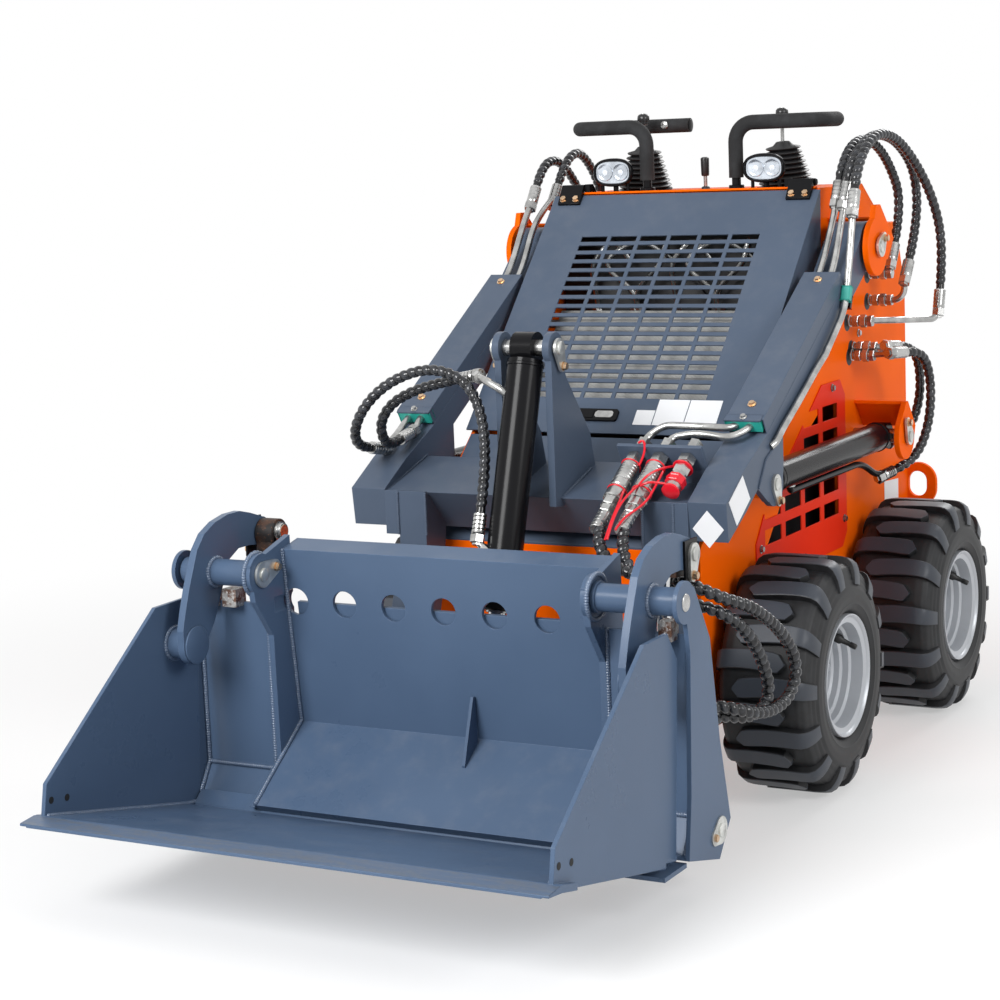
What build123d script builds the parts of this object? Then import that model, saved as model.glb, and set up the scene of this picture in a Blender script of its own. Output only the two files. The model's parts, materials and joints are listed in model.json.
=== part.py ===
"""Compact wheeled skid steer loader with a four-in-one bucket, in millimetres.

+Z is up and -Y is forward, so the operator's left is +X. The origin is on the ground, under the
middle of the machine's overall length and width. Outlines of plates that stand lengthwise are
(y, z) points; the sizes below are in the order in which the machine goes together.
"""
from build123d import *
from math import hypot, radians, tan
import os

# ---------------------------------------------------------------- wheels and axles
FRONT_AXLE_Y = 2.0
WHEELBASE = 700.0
TYRE_R = 228.6
TYRE_W = 200.0
TRACK_HALF = 410.0          # centre plane to the middle of a tyre
TREAD_W = 176.0
BEAD_R = 103.0
RIM_FLANGE_R = 119.0
RIM_WALL = 4.0
HUB_R = 46.0
AXLE_R = 20.0
AXLE_GAP = 0.05             # running clearance round each axle
HOUSING_R = 62.0

# ---------------------------------------------------------------- chassis
BODY_HALF = 300.0           # centre plane to a side plate's outer face
SIDE_PLATE = 8.0
SHEET = 5.0
BELLY_Z = 150.0
FRONT_Y = -218.0            # face of the front panel
FRONT_FOLD_Z = 500.0
REAR_Y = 949.0
REAR_BEND_Z = 900.0
TOWER_TOP_Z = 1146.0
TOWER_REAR_Y = 681.0        # where the tower's top starts to slope
DASH_Y = 817.0
DASH_Z = 1054.0
DASH_REAR_Y = 897.0
REAR_COVER_Z = 420.0        # lower edge of the rear cover
HOUSING_OUT = 22.0          # wheel motor housing beyond the side plate
LOOP_X = (282.0, 368.0)     # rear lashing loop, across
LOOP_Z = (400.0, 502.0)
LOOP_SLOT_X = (303.0, 346.0)
LOOP_SLOT_Z = (424.0, 482.0)
LOOP_PLATE = 12.0
VENT_SHEET = 3.0
VENT_EDGE = ((45.0, 380.0), (45.0, 465.0), (108.0, 541.0), (229.0, 618.0), (414.0, 739.0), (520.0, 739.0),
             (548.0, 705.0), (548.0, 410.0), (520.0, 380.0))
VENT_ROW_Z = 677.0          # middle of the vent's top row of slots
VENT_ROW_PITCH = 51.5
VENT_COLUMN_Y = 457.0       # middle of the vent's rear column of slots
VENT_COLUMN_PITCH = 108.0
VENT_SLOT = (86.0, 31.0)
VENT_ROWS = (2, 2, 3, 4, 4)  # slots in each row, from the top

# ---------------------------------------------------------------- hood
HOOD_TOP = (417.0, 1143.0)
HOOD_FOOT = (-18.0, 687.0)
HOOD_HALF = 306.0
HOOD_SHEET = 3.0
HOOD_HINGE = (431.0, 1158.0)
HINGE_X = (238.0, 290.0)    # hinge knuckle, across
HINGE_R = 8.0
HINGE_PIN_R = 4.0
LATCH_SIZE = (86.0, 20.0, 8.0)
LATCH_DROP = 588.0          # hood's top edge to the latch, along the slope
LATCH_X = -45.0
CHEEK_DEPTH = 150.0         # how far the folded sides reach down at the top
SLOT_COLUMNS = 6
SLOT_ROWS = 18
SLOT_PITCH = (69.5, 24.2)
SLOT_SIZE = (61.0, 15.0)
GRILLE_DROP = 330.0         # hood's top edge to the middle of the grille, along the slope
COOLER_DROP = (285.0, 540.0)  # cooler behind the grille, along the slope
COOLER_DEPTH = (42.0, 82.0)
COOLER_HALF = 215.0

# ---------------------------------------------------------------- lift arms
PIVOT = (446.0, 1023.0)
ARM_INNER = 322.0
ARM_OUTER = 398.0
CHEEK = 12.0                # side plates where they stand clear of the box
ARM_TOP = ((310.0, 964.0), (-124.0, 707.0))   # the box's top face under the cover
COVER_HEIGHT = 33.0
COVER_SHEET = 3.0
COVER_START = 18.0          # along the box's top face
EAR_GAP = 8.0               # arm to the outer ear of the tower
EAR_PLATE = 12.0
PIN_R = 15.0
PIN_GAP = 0.05
LIFT_BASE = (609.0, 610.0)
LIFT_EYE = (-85.0, 609.0)
KNEE_TOP = (-232.0, 657.0)
KNEE_FRONT = (-318.0, 608.0)
LEG_INNER = 232.0
LEG_OUTER = 292.0
HITCH_PIN = (-393.0, 200.0)
TILT_TOP = (-309.0, 885.0)
TILT_EYE = (-496.0, 300.0)

# ---------------------------------------------------------------- cylinders
LIFT_BARREL_R = 30.0
LIFT_ROD_R = 16.0
TILT_BARREL_R = 34.0
TILT_ROD_R = 18.0
JAW_BARREL_R = 25.0
JAW_ROD_R = 13.0
ROD_OVERLAP = 45.0          # rod left inside its barrel at full reach
BORE_SPARE = 4.0
BORE_GAP = 0.3

# ---------------------------------------------------------------- bucket
BACK_FOLD = (-633.0, 220.0)
BACK_TOP = (-668.0, 550.0)
BACK_HALF = 330.0
FLOOR_FRONT = (-798.0, 104.0)
INNER_EAR = 12.0
WEB_TOP = 455.0             # top of the plate between each pair of ears
JAW_PIVOT = (-735.0, 515.0)
JAW_BASE = (-620.0, 100.0)
JAW_EYE = (-582.0, 566.0)
JAW_FOOT = (-807.0, 394.0)     # where each jaw arm is welded to the jaw's side
JAW_HALF = 486.0            # outer faces of the jaw's side plates
OUTER_PLATE_X = 496.0
LIP_HALF = 499.0
EDGE_HALF = 474.0           # back's own cutting edge, under the jaw's floor
HOLES = 7                   # row of bolt holes under the back's top edge
HOLE_PITCH = 103.3
HOLE_R = 25.0
HOLE_Z = 452.0
SICKLE_X = (431.0, 445.0)
JAW_CYLINDER_X = 398.0

# ---------------------------------------------------------------- operator's step
STEP_Z = 230.0
STEP_HINGE_Y = 966.0
STEP_LENGTH = 267.0
STEP_HALF = 250.0

# ---------------------------------------------------------------- operator's station
GRAB_R = 15.5
GRAB_POST = (103.5, 457.0)  # x, y
GRAB_TOP_Z = 1285.0
GRAB_REACH = 285.0
GRAB_REAR_Y = 626.0
GRAB_END_X = 75.0
LEVER_X = 168.0
LEVER_Y = 572.0
LEVER_KNOB = (163.0, 572.0, 1308.0)
BOOT_TOP_Z = 1234.0
BOOT_R = (50.0, 27.0)       # at the deck and at the top
THROTTLE = (-18.0, 572.0, 1215.0)
LAMP = (175.0, 430.0, 1190.0)
LAMP_SIZE = (94.0, 61.0, 32.0)

# ---------------------------------------------------------------- hydraulic lines
TUBE_R = 7.0
HOSE_R = 9.5
CRIMP_R = 12.0
CRIMP = 46.0
COUPLER_AXIS = (0.0, -0.855, -0.518)
COUPLERS = ((185.0, -235.0, 678.0), (235.0, -235.0, 678.0))
CAPPED_COUPLER = (290.0, -235.0, 678.0)
NECK_R = 12.0               # coupler where it passes the bracket
COUPLER_STEPS = ((-26, 62, 11.7), (30, 100, 18), (124, 40, 12))   # start along the axis, length, radius
CAPPED_STEPS = ((-26, 82, 11.7), (54, 40, 15))
BRACKET_X = (150.0, 322.0)
BRACKET_HEIGHT = 62.0
FIT_GAP = 0.3               # hose end to its crimp

# routes from the tower's side plate over the pivot to the arm; each hose starts and ends at a crimp
TOWER_A = ((352, 735, 1012), (352, 790, 1100), (352, 705, 1190), (350, 612, 1238), (346, 520, 1240),
           (344, 449, 1200), (344, 427, 1157))
TOWER_B = ((385, 733, 975), (385, 797, 1060), (385, 781, 1168), (385, 673, 1231), (385, 561, 1252),
           (383, 470, 1240), (374, 421, 1193), (371, 404, 1155))
TOWER_C = ((440, 775, 910), (440, 800, 1000), (435, 760, 1100), (420, 680, 1190), (410, 570, 1250),
           (403, 460, 1250), (400, 380, 1190), (403, 355, 1141))
TOWER_D = ((-384, 726, 975), (-384, 745, 1060), (-380, 690, 1135), (-376, 610, 1200), (-375, 550, 1222),
           (-375, 490, 1208), (-375, 457, 1162))
TOWER_E = ((-352, 735, 1012), (-352, 757, 1085), (-350, 715, 1165), (-347, 655, 1218), (-345, 600, 1238),
           (-345, 540, 1212), (-345, 503, 1163))
# from the side plate down to the foot of the lift cylinder
LIFT_A = ((410, 628, 788), (424, 668, 786), (431, 705, 762), (434, 722, 715), (434, 722, 665),
          (432, 706, 618), (424, 682, 575), (408, 648, 546), (386, 612, 534))
LIFT_B = ((385, 656, 798), (392, 690, 795), (401, 722, 776), (404, 739, 741), (404, 742, 694),
          (400, 730, 650), (392, 705, 618), (382, 674, 606))
# from the right arm's end to the tilt cylinder
TILT_A = ((-374, -277, 682), (-377, -318, 689), (-366, -350, 724), (-338, -356, 772), (-290, -350, 816),
          (-225, -345, 843), (-170, -345, 846), (-120, -340, 826), (-85, -348, 780), (-62, -372, 716),
          (-52, -400, 646), (-48, -427, 588))
TILT_B = ((-340, -222, 692), (-341, -257, 685), (-339, -290, 703), (-330, -308, 740), (-303, -310, 774),
          (-262, -304, 797), (-205, -303, 814), (-150, -310, 824))
# from the couplers behind the bucket to the left jaw cylinder
JAW_A = ((185, -376, 592), (190, -425, 563), (225, -470, 525), (300, -505, 505), (375, -530, 505),
         (425, -565, 514), (470, -572, 500), (498, -535, 478), (513, -486, 461), (520, -384, 404),
         (524, -322, 346), (524, -311, 296), (522, -356, 263), (518, -440, 261), (505, -516, 282),
         (470, -540, 296), (446, -562, 291))
JAW_B = ((235, -376, 592), (238, -424, 562), (262, -456, 510), (330, -485, 462), (395, -520, 462),
         (440, -556, 474), (485, -545, 460), (505, -498, 425), (510, -439, 363), (510, -402, 297),
         (505, -419, 263), (495, -481, 260), (465, -515, 272), (445, -545, 264))
# hard tubes from the side plate's holes to the crimps of those hoses
PLATE_TUBES = (
    ((300, 710, 951), (344, 710, 951), (352, 711, 976)), ((300, 707, 893), (380, 707, 893), (385, 709, 944)),
    ((300, 591, 784), (340, 591, 784), (398, 592, 790)), ((300, 603, 800), (340, 603, 800), (379, 620, 799)),
)
CROSSOVER_TUBE = ((300, 582, 858), (322, 582, 858), (436, 752, 848), (440, 764, 872))
OUTER_ARM_TUBE = ((404, 345, 1120), (407, 300, 975), (408, 270, 905), (408, 165, 832))
LIFT_PORT = ((360, 83, 590), (360, 83, 569), (360, 480, 568), (362, 560, 534), (370, 588, 528))
TILT_ELBOW = ((-112, -315, 831), (-72, -350, 829), (-34, -356, 812), (-20, -352, 800))
TILT_FOOT = ((-46, -437, 567), (-44, -450, 540), (-22, -448, 520))

LEFT_RIGHT = (("left", 1.0), ("right", -1.0))


# ================================================================ ways of making plates and bars
def slab(outline, x_from, x_to, discs=(), mode=Mode.ADD):
    """A plate that stands lengthwise: its outline and round ends are in (y, z)."""
    with BuildSketch(Plane.YZ.offset(x_from)) as profile:
        with BuildLine():
            Polyline(*outline, close=True)
        make_face()
        for y, z, radius in discs:
            with Locations((y, z)):
                Circle(radius)
    extrude(profile.sketch, amount=x_to - x_from, mode=mode)


def cross_bar(centre, radius, x_from, x_to, mode=Mode.ADD):
    """A round bar or hole along X through centre, a (y, z) point."""
    with BuildSketch(Plane.YZ.offset(x_from)) as profile:
        with Locations(centre):
            Circle(radius)
    extrude(profile.sketch, amount=x_to - x_from, mode=mode)


def strut(x, start, end, radius, mode=Mode.ADD):
    """A round bar in the lengthwise plane at x, from one (y, z) point to another."""
    run = (end[0] - start[0], end[1] - start[1])
    with BuildSketch(Plane(origin=(x, *start), x_dir=(1, 0, 0), z_dir=(0, *run))) as profile:
        Circle(radius)
    extrude(profile.sketch, amount=hypot(*run), mode=mode)


def block(low, high, mode=Mode.ADD):
    """A square-cornered block between two corners."""
    size = [b - a for a, b in zip(low, high)]
    with Locations(tuple((a + b) / 2 for a, b in zip(low, high))):
        Box(*size, mode=mode)


def along(start, end, distance):
    """The (y, z) point at a distance from start towards end."""
    share = distance / hypot(end[0] - start[0], end[1] - start[1])
    return (start[0] + (end[0] - start[0]) * share, start[1] + (end[1] - start[1]) * share)


def square_off(start, end, distance, offset):
    """A point at a distance along a line and an offset to its left."""
    length = hypot(end[0] - start[0], end[1] - start[1])
    u = ((end[0] - start[0]) / length, (end[1] - start[1]) / length)
    return (start[0] + u[0] * distance - u[1] * offset, start[1] + u[1] * distance + u[0] * offset)


def tube(route, radius):
    """A round tube along a route of straight runs, joined by arcs as large as the runs allow."""
    corners = [Vector(*point) for point in route]
    runs = [(b - a).length for a, b in zip(corners, corners[1:])]
    turns = [(b - a).get_angle(c - b) for a, b, c in zip(corners, corners[1:], corners[2:])]
    radii = [0.45 * min(pair) / tan(radians(turn) / 2) for *pair, turn in zip(runs, runs[1:], turns)]
    with BuildLine() as path:
        FilletPolyline(*corners, radius=radii)
    with BuildSketch(Plane(origin=path.line @ 0, z_dir=path.line % 0)) as section:
        Circle(radius)
    sweep(section.sketch, path=path.line)
    return radii, path.wire().length


def hose(name, route):
    """A hose, whose length and bends are printed."""
    radii, length = tube(route, HOSE_R)
    print(f"{name}: length {length:.0f}, bend radii {[round(radius) for radius in radii]}")


def crimp(route, length=CRIMP):
    """A round fitting that carries on from the end of a hose's route."""
    last, end = Vector(*route[-2]), Vector(*route[-1])
    ahead = (end - last).normalized()
    rod(end + ahead * FIT_GAP, ahead, length, CRIMP_R)


def rod(start, direction, length, radius):
    """A round bar from a point in a direction."""
    with BuildSketch(Plane(origin=start, z_dir=direction)) as profile:
        Circle(radius)
    extrude(profile.sketch, amount=length)


def mirrored(route):
    """The same route on the machine's other side."""
    return [(-x, y, z) for x, y, z in route]


def save(part, name):
    """Labels a finished piece and writes its file."""
    part.label = name
    export_step(part, f"parts/{name}.step")


os.makedirs("parts", exist_ok=True)

# ================================================================ chassis: side plates and pan
side_outline = (
    (FRONT_Y, BELLY_Z), (FRONT_Y, FRONT_FOLD_Z), (HOOD_FOOT[0] + 6, HOOD_FOOT[1] - 12),
    (HOOD_TOP[0] + 6, HOOD_TOP[1] - 12), (HOOD_TOP[0] + 12, TOWER_TOP_Z), (TOWER_REAR_Y, TOWER_TOP_Z),
    (DASH_Y, DASH_Z), (DASH_REAR_Y, DASH_Z), (REAR_Y, REAR_BEND_Z), (REAR_Y, BELLY_Z),
)
inner_half = BODY_HALF - SIDE_PLATE
with BuildPart() as frame:
    slab(side_outline, inner_half, BODY_HALF)
    slab(((75, 420), (285, 625), (480, 722), (505, 722), (505, 420)), inner_half, BODY_HALF,
         mode=Mode.SUBTRACT)
    with BuildSketch(Plane.XZ.offset(-(REAR_Y + LOOP_PLATE))) as loop:
        for across, up, mode in ((LOOP_X, LOOP_Z, Mode.ADD), (LOOP_SLOT_X, LOOP_SLOT_Z, Mode.SUBTRACT)):
            with Locations((sum(across) / 2, sum(up) / 2)):
                SlotOverall(up[1] - up[0], across[1] - across[0], rotation=90, mode=mode)
    extrude(loop.sketch, amount=LOOP_PLATE)
    mirror(about=Plane.YZ)
    block((-inner_half, FRONT_Y, BELLY_Z), (inner_half, REAR_Y, BELLY_Z + SHEET))
    block((-inner_half, FRONT_Y, BELLY_Z), (inner_half, FRONT_Y + SHEET, FRONT_FOLD_Z - SHEET))
    block((-inner_half, REAR_Y - SHEET, BELLY_Z), (inner_half, REAR_Y, REAR_COVER_Z))
    for _, side in LEFT_RIGHT:
        for axle_y in (FRONT_AXLE_Y, FRONT_AXLE_Y + WHEELBASE):
            cross_bar((axle_y, TYRE_R), HOUSING_R, side * inner_half, side * (BODY_HALF + HOUSING_OUT))
save(frame.part, "frame")

# side vents: each a sheet with rows of slots, over an opening in the side plate
with BuildPart() as vents:
    slab(VENT_EDGE, BODY_HALF, BODY_HALF + VENT_SHEET)
    with BuildSketch(Plane.YZ.offset(BODY_HALF)) as slots:
        for row, count in enumerate(VENT_ROWS):
            for column in range(count):
                with Locations((VENT_COLUMN_Y - column * VENT_COLUMN_PITCH, VENT_ROW_Z - row * VENT_ROW_PITCH)):
                    Rectangle(*VENT_SLOT)
    extrude(slots.sketch, amount=VENT_SHEET, mode=Mode.SUBTRACT)
    mirror(about=Plane.YZ)
save(vents.part, "vent_panels")

with BuildPart() as towers:
    ear_x = ARM_OUTER + EAR_GAP
    slab(((PIVOT[0] - 48, PIVOT[1] - 30), (PIVOT[0] - 8, PIVOT[1] + 85), (PIVOT[0] + 18, PIVOT[1] + 85),
          (PIVOT[0] + 97, PIVOT[1] + 12), (PIVOT[0] + 60, PIVOT[1] - 30)), ear_x, ear_x + EAR_PLATE,
         ((*PIVOT, 60),))
    slab(((PIVOT[0] + 27, PIVOT[1] + 60), (PIVOT[0] + 85, PIVOT[1] + 10), (PIVOT[0] + 81, PIVOT[1] + 6),
          (PIVOT[0] + 23, PIVOT[1] + 56)), BODY_HALF, ear_x)
    slab(((LIFT_BASE[0] + 2, LIFT_BASE[1] + 74), (LIFT_BASE[0] + 12, LIFT_BASE[1] + 74),
          (LIFT_BASE[0] + 58, LIFT_BASE[1] + 16), (LIFT_BASE[0] + 40, LIFT_BASE[1] - 30),
          (LIFT_BASE[0] - 20, LIFT_BASE[1] - 30), (LIFT_BASE[0] - 30, LIFT_BASE[1] + 40)),
         ear_x, ear_x + EAR_PLATE, ((*LIFT_BASE, 50),))
    slab(((LIFT_BASE[0] + 2, LIFT_BASE[1] + 67), (LIFT_BASE[0] + 2, LIFT_BASE[1] + 74),
          (LIFT_BASE[0] + 12, LIFT_BASE[1] + 74), (LIFT_BASE[0] + 58, LIFT_BASE[1] + 16),
          (LIFT_BASE[0] + 52, LIFT_BASE[1] + 14), (LIFT_BASE[0] + 9, LIFT_BASE[1] + 67)),
         BODY_HALF, ear_x)
    cross_bar(PIVOT, PIN_R, ear_x - 1, ear_x + EAR_PLATE + 1, mode=Mode.SUBTRACT)
    cross_bar(LIFT_BASE, PIN_R, ear_x - 1, ear_x + EAR_PLATE + 1, mode=Mode.SUBTRACT)
    mirror(about=Plane.YZ)
save(towers.part, "tower_ears")

with BuildPart() as pins:
    for centre in (PIVOT, LIFT_BASE):
        cross_bar(centre, PIN_R, BODY_HALF, ear_x + EAR_PLATE + 4)
    mirror(about=Plane.YZ)
save(pins.part, "chassis_pins")

with BuildPart() as axles:
    for axle_y in (FRONT_AXLE_Y, FRONT_AXLE_Y + WHEELBASE):
        cross_bar((axle_y, TYRE_R), AXLE_R, BODY_HALF + HOUSING_OUT, TRACK_HALF + 30)
    mirror(about=Plane.YZ)
save(axles.part, "axle_shafts")

# lower front plate: the sheet between the hood's foot and the front panel
with BuildPart() as lower_front:
    slab(((FRONT_Y, FRONT_FOLD_Z), (HOOD_FOOT[0] - 4, HOOD_FOOT[1] - 8), (HOOD_FOOT[0], HOOD_FOOT[1] - 15),
          (FRONT_Y + SHEET, FRONT_FOLD_Z - SHEET), (FRONT_Y, FRONT_FOLD_Z - SHEET)), -inner_half, inner_half)
save(lower_front.part, "lower_front_plate")

# top deck between the towers, with the lugs and pins of the hood's hinges, and the sloping dash behind it
deck_front_y = HOOD_TOP[0] + 12
with BuildPart() as deck:
    slab(((deck_front_y, TOWER_TOP_Z - SHEET), (deck_front_y, TOWER_TOP_Z), (TOWER_REAR_Y, TOWER_TOP_Z),
          (DASH_Y, DASH_Z), (DASH_REAR_Y, DASH_Z), (REAR_Y, REAR_BEND_Z), (REAR_Y, REAR_COVER_Z),
          (REAR_Y - SHEET, REAR_COVER_Z), (REAR_Y - SHEET, REAR_BEND_Z), (DASH_REAR_Y - SHEET, DASH_Z - SHEET),
          (DASH_Y, DASH_Z - SHEET), (TOWER_REAR_Y, TOWER_TOP_Z - SHEET)), -inner_half, inner_half)
    for side in (1, -1):
        cross_bar(HOOD_HINGE, HINGE_PIN_R, side * (HINGE_X[0] - 12), side * (HINGE_X[1] + 2))
        slab(((HOOD_HINGE[0] - HINGE_R, TOWER_TOP_Z), (HOOD_HINGE[0] - HINGE_R, HOOD_HINGE[1] + HINGE_R),
              (HOOD_HINGE[0] + HINGE_R, HOOD_HINGE[1] + HINGE_R), (HOOD_HINGE[0] + 26, TOWER_TOP_Z)),
             side * (HINGE_X[0] - 12), side * (HINGE_X[0] - 2))
save(deck.part, "deck_and_rear_cover")

with BuildPart() as engine:
    block((-220, 150, 260), (220, 600, 720))
    for x in (-180, 180):
        for y in (200, 550):
            block((x - 20, y - 20, BELLY_Z + SHEET), (x + 20, y + 20, 260))
save(engine.part, "engine")

with BuildPart() as step:
    block((-STEP_HALF, STEP_HINGE_Y + 8, STEP_Z - 30), (STEP_HALF, STEP_HINGE_Y + STEP_LENGTH, STEP_Z))
    cross_bar((STEP_HINGE_Y, STEP_Z - 15), 12, -STEP_HALF, STEP_HALF)
    block((-STEP_HALF, STEP_HINGE_Y, STEP_Z - 24), (STEP_HALF, STEP_HINGE_Y + 10, STEP_Z - 6))
save(step.part, "operator_step")

# ================================================================ hood with its grille
def down_hood(distance, depth=0.0):
    """The (y, z) point at a distance down the hood's slope and a depth under its sheet."""
    return square_off(HOOD_TOP, HOOD_FOOT, distance, depth)


hood_length = hypot(HOOD_TOP[0] - HOOD_FOOT[0], HOOD_TOP[1] - HOOD_FOOT[1])
hood_plane = Plane(origin=(0, *HOOD_TOP), x_dir=(1, 0, 0),
                   z_dir=(0, -(HOOD_TOP[1] - HOOD_FOOT[1]), HOOD_TOP[0] - HOOD_FOOT[0]))
cheek_outline = (HOOD_TOP, (HOOD_TOP[0] - 4, HOOD_TOP[1] - CHEEK_DEPTH), (HOOD_FOOT[0] + 90, HOOD_FOOT[1] + 84),
                 (HOOD_FOOT[0] + 90, HOOD_FOOT[1] + 94.3))
with BuildPart() as hood:
    with BuildSketch(hood_plane):
        with Locations((0, -hood_length / 2)):
            Rectangle(2 * HOOD_HALF, hood_length)
        with Locations((0, -GRILLE_DROP)):
            with GridLocations(*SLOT_PITCH, SLOT_COLUMNS, SLOT_ROWS):
                Rectangle(*SLOT_SIZE, mode=Mode.SUBTRACT)
    extrude(amount=-HOOD_SHEET)
    for side in (1, -1):
        slab(cheek_outline, side * (HOOD_HALF - HOOD_SHEET), side * HOOD_HALF)
save(hood.part, "hood")

with BuildPart() as hinges:
    for side in (1, -1):
        slab((down_hood(0), down_hood(28), down_hood(28, -6), (HOOD_TOP[0] + 2, HOOD_HINGE[1] + HINGE_R),
              (HOOD_HINGE[0], HOOD_HINGE[1] + HINGE_R), (HOOD_HINGE[0], HOOD_HINGE[1] - HINGE_R + 2),
              (HOOD_TOP[0] + 4, HOOD_TOP[1] + 7)), side * HINGE_X[0], side * HINGE_X[1], ((*HOOD_HINGE, HINGE_R),))
        cross_bar(HOOD_HINGE, HINGE_PIN_R + PIN_GAP, side * (HINGE_X[0] - 1), side * (HINGE_X[1] + 1),
                  mode=Mode.SUBTRACT)
save(hinges.part, "hood_hinges")

with BuildPart() as latch:
    slab((down_hood(LATCH_DROP - LATCH_SIZE[1] / 2), down_hood(LATCH_DROP + LATCH_SIZE[1] / 2),
          down_hood(LATCH_DROP + LATCH_SIZE[1] / 2, -LATCH_SIZE[2]),
          down_hood(LATCH_DROP - LATCH_SIZE[1] / 2, -LATCH_SIZE[2])),
         LATCH_X - LATCH_SIZE[0] / 2, LATCH_X + LATCH_SIZE[0] / 2)
save(latch.part, "hood_latch")

with BuildPart() as cooler:
    slab((down_hood(COOLER_DROP[0], COOLER_DEPTH[0]), down_hood(COOLER_DROP[1], COOLER_DEPTH[0]),
          down_hood(COOLER_DROP[1], COOLER_DEPTH[1]), down_hood(COOLER_DROP[0], COOLER_DEPTH[1])),
         -COOLER_HALF, COOLER_HALF)
    for distance in (COOLER_DROP[0] + 20, COOLER_DROP[1] - 20):
        cross_bar(down_hood(distance, sum(COOLER_DEPTH) / 2), 9, -inner_half, inner_half)
save(cooler.part, "radiator")

# ================================================================ operator's station
with BuildPart() as lamps:
    for side in (1, -1):
        with BuildSketch(Plane.XZ.offset(-(LAMP[1] + LAMP_SIZE[2]))) as lens:
            with Locations((side * LAMP[0], LAMP[2])):
                SlotOverall(LAMP_SIZE[0], LAMP_SIZE[1])
        extrude(lens.sketch, amount=LAMP_SIZE[2])
        block((side * LAMP[0] - 16, LAMP[1] + 10, TOWER_TOP_Z), (side * LAMP[0] + 16, LAMP[1] + 16, LAMP[2]))
        block((side * LAMP[0] - 22, LAMP[1] + 2, TOWER_TOP_Z), (side * LAMP[0] + 22, LAMP[1] + 36, TOWER_TOP_Z + 5))
save(lamps.part, "work_lamps")

grab_route = ((*GRAB_POST, TOWER_TOP_Z), (*GRAB_POST, GRAB_TOP_Z), (GRAB_REACH, GRAB_POST[1], GRAB_TOP_Z),
              (GRAB_REACH, GRAB_REAR_Y, GRAB_TOP_Z), (GRAB_END_X, GRAB_REAR_Y, GRAB_TOP_Z))
with BuildPart() as grabs:
    with BuildLine() as bar:
        FilletPolyline(*grab_route, radius=[40, 62, 62])
    with BuildSketch(Plane.XY.offset(TOWER_TOP_Z)) as bar_section:
        with Locations(GRAB_POST):
            Circle(GRAB_R)
    sweep(bar_section.sketch, path=bar.line)
    mirror(about=Plane.YZ)
save(grabs.part, "grab_bars")

with BuildPart() as levers:
    for side in (1, -1):
        with BuildSketch(Plane.XY.offset(TOWER_TOP_Z)) as boot_base:
            with Locations((side * LEVER_X, LEVER_Y)):
                Circle(BOOT_R[0])
        with BuildSketch(Plane.XY.offset(BOOT_TOP_Z)) as boot_top:
            with Locations((side * LEVER_KNOB[0], LEVER_KNOB[1])):
                Circle(BOOT_R[1])
        loft(sections=[boot_base.sketch, boot_top.sketch])
        rod((side * LEVER_KNOB[0], LEVER_KNOB[1], BOOT_TOP_Z), (0, 0, 1), LEVER_KNOB[2] - BOOT_TOP_Z, 5)
        rod((side * LEVER_KNOB[0], LEVER_KNOB[1], LEVER_KNOB[2] - 32), (0, 0, 1), 38, 13)
    block((THROTTLE[0] - 4, THROTTLE[1] - 10, TOWER_TOP_Z), (THROTTLE[0] + 4, THROTTLE[1] + 10, THROTTLE[2]))
save(levers.part, "drive_levers")

# ================================================================ hoses of the chassis and their fittings
with BuildPart() as fittings:
    for flip in (list, mirrored):
        for route in PLATE_TUBES:
            tube(flip(route), TUBE_R)
        for route in (LIFT_A, LIFT_B):
            crimp(flip(route)[::-1])
    tube(CROSSOVER_TUBE, TUBE_R)
    for route in (TOWER_A, TOWER_B, TOWER_C, TOWER_D, TOWER_E):
        crimp(route[::-1])
save(fittings.part, "bulkhead_fittings")

with BuildPart() as tower_hoses:
    for letter, route in zip("ABCDE", (TOWER_A, TOWER_B, TOWER_C, TOWER_D, TOWER_E)):
        hose(f"tower hose {letter}", route)
save(tower_hoses.part, "tower_hoses")

with BuildPart() as lift_hoses:
    for letter, route in zip("AB", (LIFT_A, LIFT_B)):
        hose(f"lift hose {letter}, left", route)
        hose(f"lift hose {letter}, right", mirrored(route))
save(lift_hoses.part, "lift_hoses")

# ================================================================ lift arms
arm_outline = (
    (PIVOT[0] - 25, PIVOT[1] + 40), *ARM_TOP, KNEE_TOP, KNEE_FRONT, (-310, 535), (-225, 578),
    (-168, 612), (-130, 660), (-40, 700), (PIVOT[0] - 19, PIVOT[1] - 50),
)
lobe_outline = ((-168, 612), (-120, 580), (-50, 580), (-40, 640), (-40, 700), (-130, 660))
with BuildPart() as arm_left:
    slab(arm_outline, ARM_INNER, ARM_OUTER, ((*PIVOT, 52),))
    for x_from in (ARM_INNER, ARM_OUTER - CHEEK):
        slab(lobe_outline, x_from, x_from + CHEEK, ((*LIFT_EYE, 42),))
    cross_bar(PIVOT, PIN_R + PIN_GAP, ARM_INNER - 1, ARM_OUTER + 1, mode=Mode.SUBTRACT)
save(arm_left.part, "arm_left")
with BuildPart() as arm_right:
    add(arm_left.part)
    mirror(about=Plane.YZ, mode=Mode.REPLACE)
save(arm_right.part, "arm_right")

cover_end = hypot(ARM_TOP[1][0] - ARM_TOP[0][0], ARM_TOP[1][1] - ARM_TOP[0][1]) - 6


def over_arm(distance, height):
    """The (y, z) point at a distance down the arm's top face and a height over it."""
    return square_off(*ARM_TOP, distance, -height)


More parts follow.
